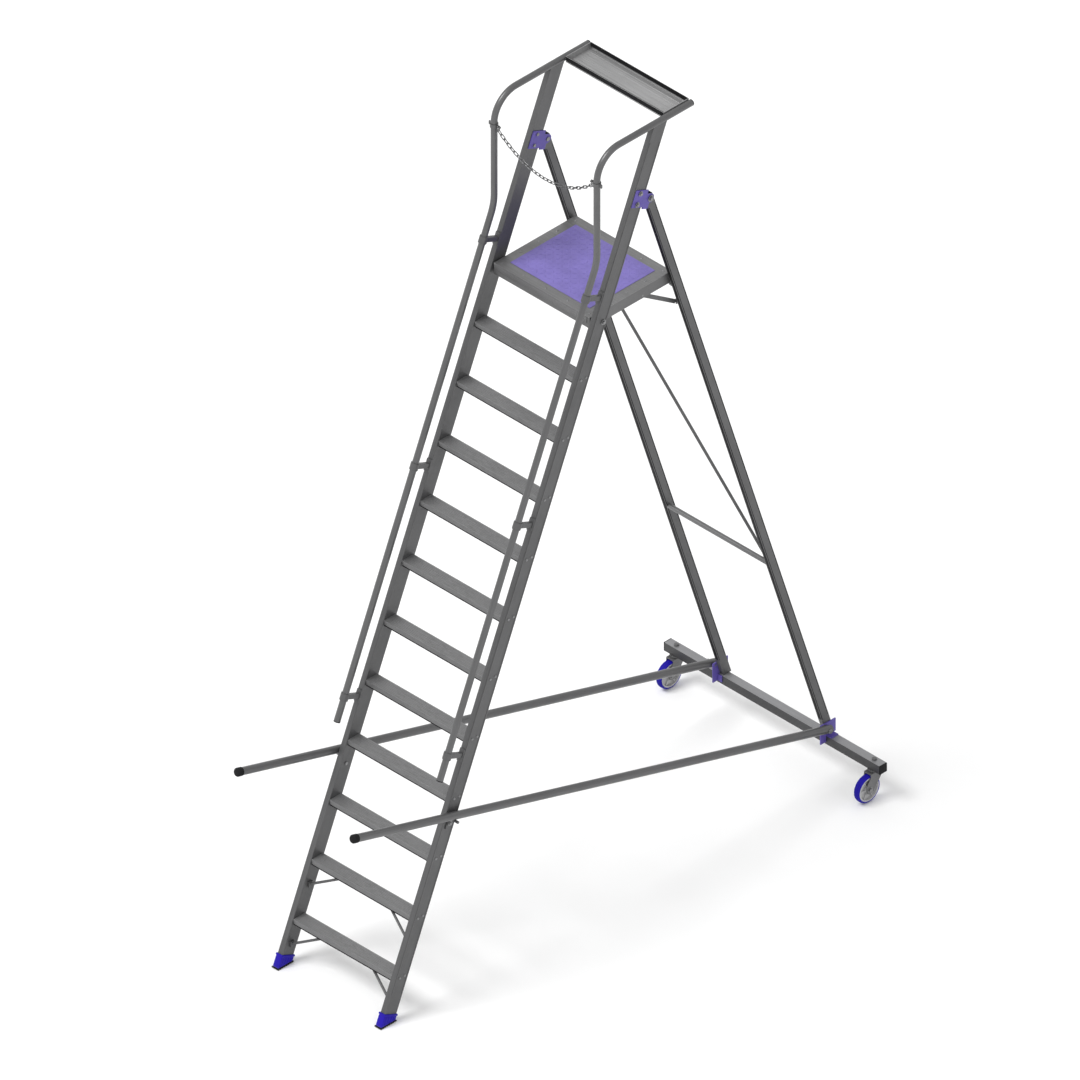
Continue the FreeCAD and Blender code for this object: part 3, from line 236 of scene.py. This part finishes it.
def trodden(name, colour, rough=0.46, top=1.45):
    """Step metal: lengthwise draw lines, a scuffed, dulled stretch in the middle where feet land, and upward
    faces painted lighter as painted top light.
    """
    graph = Graph(name)
    lines = graph.noise(graph.place(0.0, (1.5, 150.0, 150.0)), 3.0, 4.0)
    scuff = graph.noise(graph.place(0.4, (14.0, 60.0, 14.0)), 2.2, 5.0, 0.66)
    cloud = graph.noise(graph.place(), 6.0, 4.0)
    rounded, corner = graph.edges(0.0016)
    parts = graph.add("SeparateXYZ", {0: graph.add("TexCoord").outputs["Object"]})
    centre = graph.span(graph.maths("ABSOLUTE", parts.outputs[0]), 0.24, 0.08)
    base = graph.mix(graph.span(lines, 0.3, 0.7), shade(colour, 0.9), shade(colour, 1.1))
    # painted top light: the step's upward faces are lightened by the factor top
    base = graph.painted_top_light(base, top, cloud)
    walked = graph.maths("MULTIPLY", centre, graph.span(scuff, 0.45, 0.65))
    base = graph.mix(graph.maths("MULTIPLY", walked, 0.35), base, shade(colour, 0.8))
    base = graph.mix(graph.span(cloud, 0.5, 0.75, 0.0, 0.22), base, shade(colour, 0.9))
    base = graph.mix(graph.maths("MULTIPLY", corner, 0.35), base, shade(colour, 1.8))
    roughness = graph.span(walked, 0.0, 1.0, rough, rough + 0.2)
    return graph.end(Base_Color=base, Metallic=0.5, Roughness=roughness,
                     Normal=graph.bump(lines, 0.14, 0.0006, rounded))


STILE_GREY = (0.108, 0.108, 0.110)
TUBE_GREY = (0.122, 0.122, 0.124)
# the step, deck and tray greys are the same aluminium painted lighter than the stile grey, a painted top
# light, because these parts mostly show faces that look upwards
STEP_LIT_GREY = (0.167, 0.167, 0.169)
DECK_LIT_GREY = (0.215, 0.215, 0.217)
TRAY_LIT_GREY = (0.36, 0.36, 0.362)
# the base bar's grey is darkened as painted shade on its front and lower faces
BAR_SHADED_GREY = (0.060, 0.060, 0.062)
FRAME_GREY = (0.138, 0.138, 0.140)
DEEP_BLUE = (0.014, 0.005, 0.29)
BRACKET_BLUE = (0.100, 0.074, 0.322)
MAT_BLUE = (0.174, 0.140, 0.412)
TYRE_BLUE = (0.009, 0.004, 0.27)
SOFT_BLACK = (0.010, 0.010, 0.011)
ZINC_GREY = (0.24, 0.24, 0.245)
FORK_GREY = (0.155, 0.155, 0.158)
RIM_GREY = (0.42, 0.42, 0.425)
CHAIN_GREY = (0.16, 0.16, 0.163)

GRAIN_UP = (160.0, 1.0, 160.0)
FINISH = {
    "stile": metal("aluminium_stile", STILE_GREY, tilt=climb, grain=GRAIN_UP),
    "leg": metal("aluminium_leg", STILE_GREY, tilt=-LEG_TILT, grain=GRAIN_UP),
    "across": metal("aluminium_across", STILE_GREY),
    # base bar: painted shade on its sides, and its top painted five times lighter as painted top light
    "bar": metal("aluminium_bar", BAR_SHADED_GREY, top=5.0),
    "frame": metal("aluminium_frame", FRAME_GREY),
    "tube_up": metal("aluminium_tube_up", TUBE_GREY, rough=0.34, tilt=climb, grain=GRAIN_UP),
    "tube_handle": metal("aluminium_tube_handle", TUBE_GREY, rough=0.34, tilt=-HANDLE_TILT, grain=GRAIN_UP),
    # the crossbar tube is the tube grey painted 1.3 times lighter, a painted light on its upper side
    "tube_across_lit": metal("aluminium_tube_across", shade(TUBE_GREY, 1.3), rough=0.34),
    "step": trodden("aluminium_step", STEP_LIT_GREY),
    "deck": metal("aluminium_deck", DECK_LIT_GREY, grain=(1.0, 60.0, 60.0)),
    "tray": metal("aluminium_tray", TRAY_LIT_GREY, grain=(1.0, 60.0, 60.0)),
    "zinc": metal("zinc_plate", ZINC_GREY, rough=0.32, metallic=0.85, grain=(30.0, 30.0, 30.0)),
    "fork": metal("fork_zinc", FORK_GREY, rough=0.36, metallic=0.6, grain=(14.0, 14.0, 60.0)),
    "blue": plastic("shoe_blue", DEEP_BLUE, dust_height=0.012, sheen=0.15),
    "bracket": plastic("bracket_blue", BRACKET_BLUE, rough=0.38, grain=1400.0, sheen=0.3),
    "rubber": plastic("black_rubber", SOFT_BLACK, rough=0.7, dust_height=0.006, sheen=0.1),
    "black": plastic("black_plastic", SOFT_BLACK, rough=0.5, sheen=0.1),
    "rim": plastic("rim_grey", RIM_GREY, rough=0.4, dust_height=0.03),
    "tyre": plastic("tyre_blue", TYRE_BLUE, rough=0.55, grain=500.0, dust_height=0.012, sheen=0.15),
    "mat": plastic("mat_blue", MAT_BLUE, rough=0.62, grain=420.0),
    "chain": metal("chain_plate", CHAIN_GREY, rough=0.3, metallic=0.9, grain=(40.0, 40.0, 40.0)),
}

NODE_FINISH = {
    "left_stile": "stile", "right_stile": "stile", "left_leg": "leg", "right_leg": "leg",
    "base_bar": "bar", "base_bar_caps": "black", "base_brackets": "bracket",
    "left_handrail": "tube_up", "right_handrail": "tube_up", "left_handle": "tube_handle",
    "right_handle": "tube_handle", "mid_crossbar": "tube_across_lit", "diagonal_brace": "across",
    "step_braces": "across", "left_stay": "across", "right_stay": "across", "platform_frame": "frame",
    "platform_deck": "deck", "tool_tray": "tray", "platform_mat": "mat", "stile_caps": "stile",
    "hinge_brackets": "bracket", "handle_saddles": "stile", "rail_brackets": "stile",
    "rail_end_caps": "black", "leg_bushes": "black", "safety_chain": "chain", "chain_eyes": "tube_up",
    "shoe_soles": "rubber", "castor_housings": "fork", "left_shoe": "blue", "right_shoe": "blue",
    "left_handle_cap": "black", "right_handle_cap": "black",
}
for node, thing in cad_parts.items():
    finish = NODE_FINISH.get(node)
    if finish is None and node.startswith("step_") and node[5:].isdigit():
        finish = "step"
    if finish is None and "castor" in node:
        finish = {"fork": "fork", "wheel": "rim", "tyre": "tyre", "axle": "zinc"}[node.rsplit("_", 1)[1]]
    thing.data.materials.clear()
    thing.data.materials.append(FINISH[finish or "zinc"])


# ---------------------------------------------------------------- mesh code
class Piece:
    """One mesh built up from rounded solids."""

    def __init__(self, name):
        self.name = name
        self.bm = bmesh.new()

    def rounded(self, made, edges, bevel, segments):
        """Rounds edges, and returns the vertices of what made has become."""
        result = bmesh.ops.bevel(self.bm, geom=edges, offset=bevel, segments=segments, profile=0.5,
                                 affect="EDGES", clamp_overlap=True)
        return list({vert for face in result["faces"] for vert in face.verts}
                    | {vert for vert in made if vert.is_valid})

    def block(self, place, size, bevel=0.0, segments=2):
        """A box centred on place's origin, with its edges rounded."""
        made = bmesh.ops.create_cube(self.bm, size=1.0)["verts"]
        bmesh.ops.scale(self.bm, vec=size, verts=made)
        if bevel:
            edges = list({edge for vert in made for edge in vert.link_edges})
            made = self.rounded(made, edges, bevel, segments)
        bmesh.ops.transform(self.bm, matrix=place, verts=made)

    def prism(self, outline, place, depth, bevel=0.0, segments=2):
        """An outline in place's own x and y, drawn out along its z by depth, half each way."""
        lower = [self.bm.verts.new((a, b, -depth / 2)) for a, b in outline]
        upper = [self.bm.verts.new((a, b, depth / 2)) for a, b in outline]
        faces = [self.bm.faces.new(lower[::-1]), self.bm.faces.new(upper)]
        for i in range(len(outline)):
            j = (i + 1) % len(outline)
            faces.append(self.bm.faces.new((lower[i], lower[j], upper[j], upper[i])))
        made = lower + upper
        if bevel:
            edges = list({edge for face in faces for edge in face.edges})
            made = self.rounded(made, edges, bevel, segments)
        bmesh.ops.transform(self.bm, matrix=place, verts=made)

    def lathe(self, profile, place, steps=48, closed=False):
        """Turns (radius, height) points about place's own z."""
        rings = []
        for radius, height in profile:
            if radius < 1e-7:
                rings.append([self.bm.verts.new(place @ Vector((0, 0, height)))])
                continue
            ring = []
            for i in range(steps):
                turn = 2 * math.pi * i / steps
                spot = Vector((radius * math.cos(turn), radius * math.sin(turn), height))
                ring.append(self.bm.verts.new(place @ spot))
            rings.append(ring)
        pairs = list(zip(rings, rings[1:])) + ([(rings[-1], rings[0])] if closed else [])
        for low, high in pairs:
            for i in range(steps):
                j = (i + 1) % steps
                loop = [low[i % len(low)], low[j % len(low)], high[j % len(high)], high[i % len(high)]]
                loop = list(dict.fromkeys(loop))
                if len(loop) > 2:
                    self.bm.faces.new(loop)

    def hex_bolt(self, place, across, tall):
        """A washer, a chamfered hexagon head and a small crown, standing on place's own xy plane."""
        base, rim, soft = 0.0014, across * 0.88, 0.0003
        self.lathe([(0, 0), (rim - soft, 0), (rim, soft), (rim, base - soft), (rim - soft, base), (0, base)],
                   place, 32)
        radius = across / math.sqrt(3)
        outline = [(radius * math.cos(math.pi * i / 3), radius * math.sin(math.pi * i / 3)) for i in range(6)]
        self.prism(outline, place @ Matrix.Translation((0, 0, base + tall / 2)), tall, 0.0007)
        crown, top = across * 0.40, base + tall
        self.lathe([(0, top - 0.0005), (crown, top - 0.0005), (crown * 0.9, top + 0.0004), (0, top + 0.0006)],
                   place, 24)

    def done(self, body, finish, replaces=()):
        """Makes the mesh an object that rides on a body, and gives it a finish and a slot."""
        bmesh.ops.recalc_face_normals(self.bm, faces=self.bm.faces)
        mesh = bpy.data.meshes.new(self.name)
        self.bm.to_mesh(mesh)
        self.bm.free()
        mesh.shade_smooth()
        mesh.set_sharp_from_angle(angle=SHARP)
        mesh.materials.append(FINISH[finish])
        thing = bpy.data.objects.new(self.name, mesh)
        bpy.context.scene.collection.objects.link(thing)
        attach(thing, body)
        if replaces:
            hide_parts(*replaces)


# ---------------------------------------------------------------- stiles, legs and steps
def make_stile_beads():
    """Raised beads along both edges of each stile's outer face, as the extrusion die leaves them."""
    wide, proud, from_edge, shorter, foot = 0.006, 0.0014, 0.0045, 0.16, 0.11
    for word, side in SIDES:
        node = f"{word}_stile"
        low, high = extent(node, UP_STILE)
        back, front = extent(node, OFF_STILE)
        outer = side * max(abs(corners(node)[0].x), abs(corners(node)[1].x))
        piece = Piece(f"{word}_stile_beads")
        length = high - low - shorter
        for across in (back + from_edge, front - from_edge):
            centre = X * outer + UP_STILE * (low + foot + length / 2) + OFF_STILE * across
            piece.block(basis(centre, X, UP_STILE, OFF_STILE), (2 * proud, length, wide), 0.0006)
        piece.done("ladder_frame", "stile")


def make_leg_shade_strips():
    """Black strips on each leg: painted shade for the channel along its front face, and painted shade lines
    along the edges of its side faces.
    """
    proud, slot, line, from_edge, shorter, foot = 0.0008, 0.015, 0.0026, 0.0034, 0.16, 0.1
    for word, _ in SIDES:
        node = f"{word}_leg"
        low, high = extent(node, UP_LEG)
        front, back = extent(node, OFF_LEG)
        near, far = corners(node)[0].x, corners(node)[1].x
        length = high - low - shorter
        along = UP_LEG * (low + foot + length / 2)
        piece = Piece(f"{word}_leg_shade_strip")
        centre = X * ((near + far) / 2) + along + OFF_LEG * front
        piece.block(basis(centre, X, UP_LEG, OFF_LEG), (slot, length, 2 * proud), 0.0005)
        for face in (near, far):
            for across in (front + from_edge, back - from_edge):
                centre = X * face + along + OFF_LEG * across
                piece.block(basis(centre, X, UP_LEG, OFF_LEG), (2 * proud, length, line), 0.0004)
        piece.done("rear_frame", "black")


def make_tread_grips():
    """Rows of low anti-slip ribs along the top of every step, and a black strip under its front edge, a
    painted shadow line.
    """
    pitch, wide, proud, margin = 0.0078, 0.0030, 0.0013, 0.018
    shade_line_thick, shade_line_tall, shade_line_margin = 0.0016, 0.0052, 0.002
    for number in STEPS:
        low, high = corners(f"step_{number:02d}")
        piece = Piece(f"tread_grip_{number:02d}")
        count = int((high.y - low.y - 0.008) / pitch)
        start = (low.y + high.y - (count - 1) * pitch) / 2
        for i in range(count):
            centre = Vector((0, start + i * pitch, high.z))
            piece.block(basis(centre, X, Y, Z), (high.x - low.x - 2 * margin, wide, 2 * proud), 0.0005, 1)
        piece.done("ladder_frame", "step")
        piece = Piece(f"step_shade_line_{number:02d}")
        shade_line = Vector((0, low.y + 0.0002, low.z + 0.0028))
        piece.block(basis(shade_line, X, Y, Z), (high.x - low.x - 2 * shade_line_margin, shade_line_thick, shade_line_tall), 0.0005)
        piece.done("ladder_frame", "black")


def make_step_rivets():
    """Domed rivets through the stiles into the steps' screw ports."""
    piece = Piece("step_rivets")
    for low, high in solids_of("step_bolts"):
        side = 1 if low.x + high.x > 0 else -1
        length, centre = high.x - low.x, (low + high) / 2
        radius = (high.z - low.z) / 2
        inner = X * (low.x if side > 0 else high.x)
        place = basis(inner + Y * centre.y + Z * centre.z, Y * side, Z, X * side)
        head = 0.0035
        dome = [(radius * math.cos(a), length - head * (1 - math.sin(a)) + 0.0004)
                for a in (0, 0.35, 0.75, 1.15)]
        piece.lathe([(0, 0), (radius * 0.5, 0), (radius * 0.5, length - head), (radius, length - head)]
                    + dome + [(0, length + 0.0004)], place, 24)
    piece.done("ladder_frame", "zinc", ("step_bolts",))


# ---------------------------------------------------------------- shoes
def make_shoes():
    """Moulded boots on the stile feet, with a rolled collar and side ribs."""
    for word, _ in SIDES:
        node = f"{word}_shoe"
        low, high = corners(node)
        back, front = extent(node, OFF_STILE)
        top = extent(node, UP_STILE)[1]
        wide = high.x - low.x
        centre_x = (low.x + high.x) / 2

        def level(off, height=low.z):
            return (height - off * math.cos(climb)) / math.sin(climb)

        outline = [(level(front), front), (top, front), (top, back), (level(back), back)]
        place = basis(X * centre_x, UP_STILE, OFF_STILE, X)
        piece = Piece(f"{word}_boot")
        piece.prism(outline, place, wide, 0.004, 3)
        collar = [(top - 0.008, front + 0.0015), (top, front + 0.0015), (top, back - 0.0015),
                  (top - 0.008, back - 0.0015)]
        piece.prism(collar, place, wide + 0.003, 0.002, 2)
        for share in (0.22, 0.41, 0.6, 0.79):
            off = back + (front - back) * share
            base = level(off) + 0.008
            length = top - 0.012 - base
            centre = X * centre_x + UP_STILE * (base + length / 2) + OFF_STILE * off
            piece.block(basis(centre, X, UP_STILE, OFF_STILE), (wide + 0.0024, length, 0.005), 0.001)
        piece.done("ladder_frame", "blue", (node,))


def make_soles():
    """Black rubber soles: a rounded slab on a row of cleats."""
    cleats = 8
    for index, (low, high) in enumerate(solids_of("shoe_soles")):
        piece = Piece(f"shoe_sole_{index + 1}")
        centre, size = (low + high) / 2, high - low
        slab = 0.55 * size.z
        piece.block(basis(Vector((centre.x, centre.y, high.z - slab / 2)), X, Y, Z),
                    (size.x, size.y, slab), 0.0012)
        pitch = size.y / cleats
        for i in range(cleats):
            y = low.y + (i + 0.5) * pitch
            piece.block(basis(Vector((centre.x, y, low.z + 0.25 * size.z)), X, Y, Z),
                        (size.x - 0.001, 0.62 * pitch, 0.5 * size.z), 0.0006)
        piece.done("ladder_frame", "rubber", ("shoe_soles",) if index == 0 else ())


# ---------------------------------------------------------------- platform
def make_grip_mat():
    """The mat's sheet, covered in low lozenges that lie alternately to left and right."""
    low, high = corners("platform_mat")
    piece = Piece("grip_mat")
    size, centre = high - low, (low + high) / 2
    piece.block(basis(centre, X, Y, Z), (size.x, size.y, size.z), 0.0009)
    pitch, long, wide, proud = 0.0235, 0.0175, 0.0055, 0.0012
    across, deep = int((size.x - 0.02) / pitch), int((size.y - 0.02) / pitch)
    outline = [(-long / 2, 0), (-long / 4, -wide / 2), (long / 4, -wide / 2), (long / 2, 0),
               (long / 4, wide / 2), (-long / 4, wide / 2)]
    for i in range(across):
        for j in range(deep):
            x = centre.x + (i - (across - 1) / 2) * pitch
            y = centre.y + (j - (deep - 1) / 2) * pitch
            turn = math.radians(45 if (i + j) % 2 else -45)
            first = Vector((math.cos(turn), math.sin(turn), 0))
            second = Vector((-math.sin(turn), math.cos(turn), 0))
            piece.prism(outline, basis(Vector((x, y, high.z + proud / 2 - 0.0003)), first, second, Z), proud)
    piece.done("platform", "mat", ("platform_mat",))


def make_deck_rivets():
    """Rivets that hold the deck sheet down round the mat."""
    low, high = corners("platform_deck")
    mat_low, mat_high = corners("platform_mat")
    piece = Piece("deck_rivets")
    edge_x, edge_y = (high.x + mat_high.x) / 2, (high.y + mat_high.y) / 2
    front_y = (low.y + mat_low.y) / 2
    spots = [(side * edge_x, front_y + (edge_y - front_y) * i / 4) for side in (-1, 1) for i in range(5)]
    spots += [(edge_x * share, y) for share in (-0.5, 0, 0.5) for y in (front_y, edge_y)]
    for x, y in spots:
        place = basis(Vector((x, y, high.z)), X, Y, Z)
        piece.lathe([(0, -0.001), (0.0055, -0.001), (0.0055, 0.0002), (0.0045, 0.0011), (0.0022, 0.0017),
                     (0, 0.0018)], place, 24)
    piece.done("platform", "zinc")


def make_nosing():
    """A ribbed nosing strip along the platform's front edge."""
    low, high = corners("platform_frame")
    piece = Piece("platform_nosing")
    tall, thick, margin, pitch = 0.030, 0.0016, 0.015, 0.0065
    face, wide = low.y, high.x - low.x - 2 * margin
    piece.block(basis(Vector((0, face, high.z - tall / 2)), X, Y, Z), (wide, 2 * thick, tall), 0.0007)
    for i in range(4):
        z = high.z - 0.0055 - i * pitch
        piece.block(basis(Vector((0, face - thick, z)), X, Y, Z), (wide - 0.004, 0.002, 0.003), 0.0006)
    piece.done("platform", "frame")


# ---------------------------------------------------------------- brackets and fasteners
def make_bolt_heads():
    """Hexagon heads on every fastener that ends outside a stile."""
    rows = (("bracket_bolts", 0.013, 0.0055), ("platform_pivots", 0.014, 0.006), ("hinge_pins", 0.017, 0.007))
    for node, across, tall in rows:
        piece = Piece(f"{node}_heads")
        for low, high in solids_of(node):
            side = 1 if low.x + high.x > 0 else -1
            outer = high.x if side > 0 else low.x
            centre = (low + high) / 2
            place = basis(Vector((outer - side * 0.002, centre.y, centre.z)), Y * side, Z, X * side)
            piece.hex_bolt(place, across, tall)
        piece.done("ladder_frame", "zinc")


# ---------------------------------------------------------------- handles and tray
def make_handle_grips():
    """Black end caps on the lift handles, ringed and domed."""
    for word, _ in SIDES:
        node = f"{word}_handle_cap"
        start, end = extent(node, ALONG_HANDLE)
        low, high = extent(node, OFF_HANDLE)
        radius, length = (high - low) / 2, end - start
        origin = X * middle(node).x + ALONG_HANDLE * start + OFF_HANDLE * ((low + high) / 2)
        profile = [(0, 0), (radius - 0.0008, 0), (radius, 0.0008)]
        for i in range(3):
            at = 0.004 + i * 0.0055
            profile += [(radius, at), (radius - 0.0011, at + 0.0008), (radius - 0.0011, at + 0.0022),
                        (radius, at + 0.003)]
        for angle in (0, 20, 40, 60, 78):
            turn = math.radians(angle)
            profile.append((radius * math.cos(turn), length - 0.006 + 0.006 * math.sin(turn)))
        profile.append((0, length))
        piece = Piece(f"{word}_handle_plug")
        piece.lathe(profile, basis(origin, X, ALONG_HANDLE.cross(X), ALONG_HANDLE), 40)
        piece.done(f"{word}_handle", "black", (node,))


def make_tray_trim():
    """Dark edge trims over the tray's front and back walls, and beads pressed into its floor."""
    low, high = corners("tool_tray")
    wall, thick, inward = 0.0025, 0.0055, 0.0012
    for word, y, tall in (("front", low.y + wall / 2, 0.023), ("back", high.y - wall / 2, 0.018)):
        piece = Piece(f"tray_trim_{word}")
        centre = Vector((0, y + (inward if word == "front" else -inward), high.z - tall / 2))
        piece.block(basis(centre, X, Y, Z), (high.x - low.x, thick, tall), 0.0018, 3)
        piece.done("ladder_frame", "black")
    piece = Piece("tray_beads")
    long = high.x - low.x - 0.05
    for i in range(5):
        y = low.y + (high.y - low.y) * (i + 1) / 6
        piece.block(basis(Vector((0, y, low.z + 0.0028)), X, Y, Z), (long, 0.006, 0.002), 0.0008)
    piece.done("ladder_frame", "tray")


# ---------------------------------------------------------------- castors
def make_castors():
    """Blue crowned tyres on grey rims with ribs, hubs and bearing covers."""
    for word, _ in SIDES:
        tyre, wheel = f"{word}_castor_tyre", f"{word}_castor_wheel"
        low, high = corners(tyre)
        centre, radius, half = (low + high) / 2, (high.z - low.z) / 2, (high.x - low.x) / 2
        wheel_low, wheel_high = corners(wheel)
        rim, hub = (wheel_high.z - wheel_low.z) / 2, (wheel_high.x - wheel_low.x) / 2
        place = basis(centre, Y, Z, X)
        piece = Piece(f"{word}_tyre")
        edge = [(rim - 0.002, half * 0.9), (rim + 0.003, half), (radius - 0.0045, half * 0.93),
                (radius - 0.0016, half * 0.72), (radius - 0.0003, half * 0.42),
                (radius - 0.0014, half * 0.38), (radius - 0.0014, half * 0.32), (radius, half * 0.28)]
        profile = edge + [(r, -h) for r, h in edge[::-1]]
        piece.lathe(profile, place, 72, closed=True)
        piece.done(f"{word}_wheel", "tyre", (tyre,))
        piece = Piece(f"{word}_rim")
        ring = [(rim - 0.007, half * 0.5), (rim - 0.006, half * 0.94), (rim - 0.001, half * 0.97),
                (rim, half * 0.9)]
        piece.lathe(ring + [(r, -h) for r, h in ring[::-1]], place, 64, closed=True)
        web = half * 0.2
        piece.lathe([(0, web), (rim - 0.005, web), (rim - 0.005, -web), (0, -web)], place, 64)
        cover = [(0, hub), (0.0125, hub), (0.0135, hub - 0.0012), (0.0165, hub - 0.002),
                 (0.0185, half * 0.55), (0.0185, web)]
        piece.lathe(cover + [(r, -h) for r, h in cover[::-1]], place, 40)
        for i in range(6):
            turn = 2 * math.pi * i / 6
            out = Y * math.cos(turn) + Z * math.sin(turn)
            cross = X.cross(out)
            reach = (rim - 0.006 + 0.016) / 2
            piece.block(basis(centre + out * reach, out, cross, X), (rim - 0.022, 0.005, half * 1.3), 0.0012)
        piece.done(f"{word}_wheel", "rim", (wheel,))


def make_castor_trim():
    """Nuts on both ends of each castor's axle."""
    across, tall, sunk = 0.016, 0.005, 0.005
    for word, _ in SIDES:
        low, high = corners(f"{word}_castor_axle")
        centre = (low + high) / 2
        piece = Piece(f"{word}_axle_nuts")
        for outer, way in ((high.x, 1), (low.x, -1)):
            spot = Vector((outer - way * sunk, centre.y, centre.z))
            piece.hex_bolt(basis(spot, Y * way, Z, X * way), across, tall)
        piece.done(f"{word}_castor", "zinc")


for make in (make_stile_beads, make_leg_shade_strips, make_tread_grips, make_step_rivets, make_shoes, make_soles,
             make_grip_mat, make_deck_rivets, make_nosing, make_bolt_heads, make_handle_grips, make_tray_trim,
             make_castors, make_castor_trim):
    make()


# ---------------------------------------------------------------- floor, light and camera
def make_floor():
    """A wide, pale, faintly mottled floor just under the soles."""
    graph = Graph("studio_floor")
    cloud = graph.noise(graph.place(), 0.7, 3.0)
    colour = graph.mix(graph.span(cloud, 0.3, 0.7), (0.86, 0.86, 0.86, 1), (0.89, 0.89, 0.89, 1))
    material = graph.end(Base_Color=colour, Roughness=0.9)
    reach, under = 300.0, 0.0005
    mesh = bpy.data.meshes.new("floor")
    spots = [(-reach, -reach), (reach, -reach), (reach, reach), (-reach, reach)]
    mesh.from_pydata([(x, y, -under) for x, y in spots], [], [(0, 1, 2, 3)])
    mesh.materials.append(material)
    floor = bpy.data.objects.new("floor", mesh)
    bpy.context.scene.collection.objects.link(floor)


def make_light(name, strength, spread, toward):
    """A soft sun: its strength, its spread in degrees and the direction it shines in."""
    lamp = bpy.data.lights.new(name, "SUN")
    lamp.energy = strength
    lamp.angle = math.radians(spread)
    thing = bpy.data.objects.new(name, lamp)
    thing.rotation_euler = Vector(toward).to_track_quat("-Z", "Y").to_euler()
    bpy.context.scene.collection.objects.link(thing)


def make_world():
    """Even white light from all round."""
    white, strength = (1.0, 1.0, 1.0, 1.0), 0.8
    world = bpy.data.worlds.new("studio")
    world.use_nodes = True
    sky = world.node_tree.nodes["Background"]
    sky.inputs[0].default_value = white
    sky.inputs[1].default_value = strength
    bpy.context.scene.world = world


def make_camera():
    """Parallel view from the front right, looking down on the isometric diagonal."""
    target, wide, away = Vector((-0.5369, 0.5519, 1.0875)), 4.27, 12.0
    back = Vector((1, -1, 1)).normalized()
    camera = bpy.data.cameras.new("camera")
    camera.type, camera.ortho_scale = "ORTHO", wide
    camera.clip_start, camera.clip_end = 0.1, 100.0
    thing = bpy.data.objects.new("camera", camera)
    thing.location = target + back * away
    thing.rotation_euler = back.to_track_quat("Z", "Y").to_euler()
    bpy.context.scene.collection.objects.link(thing)
    bpy.context.scene.camera = thing


make_floor()
make_world()
make_light("key", 1.9, 25, (0.35, 0.75, -1.25))
make_light("fill", 0.35, 60, (-1.0, 0.4, -0.6))
make_camera()
bpy.context.scene.view_settings.view_transform = "Standard"
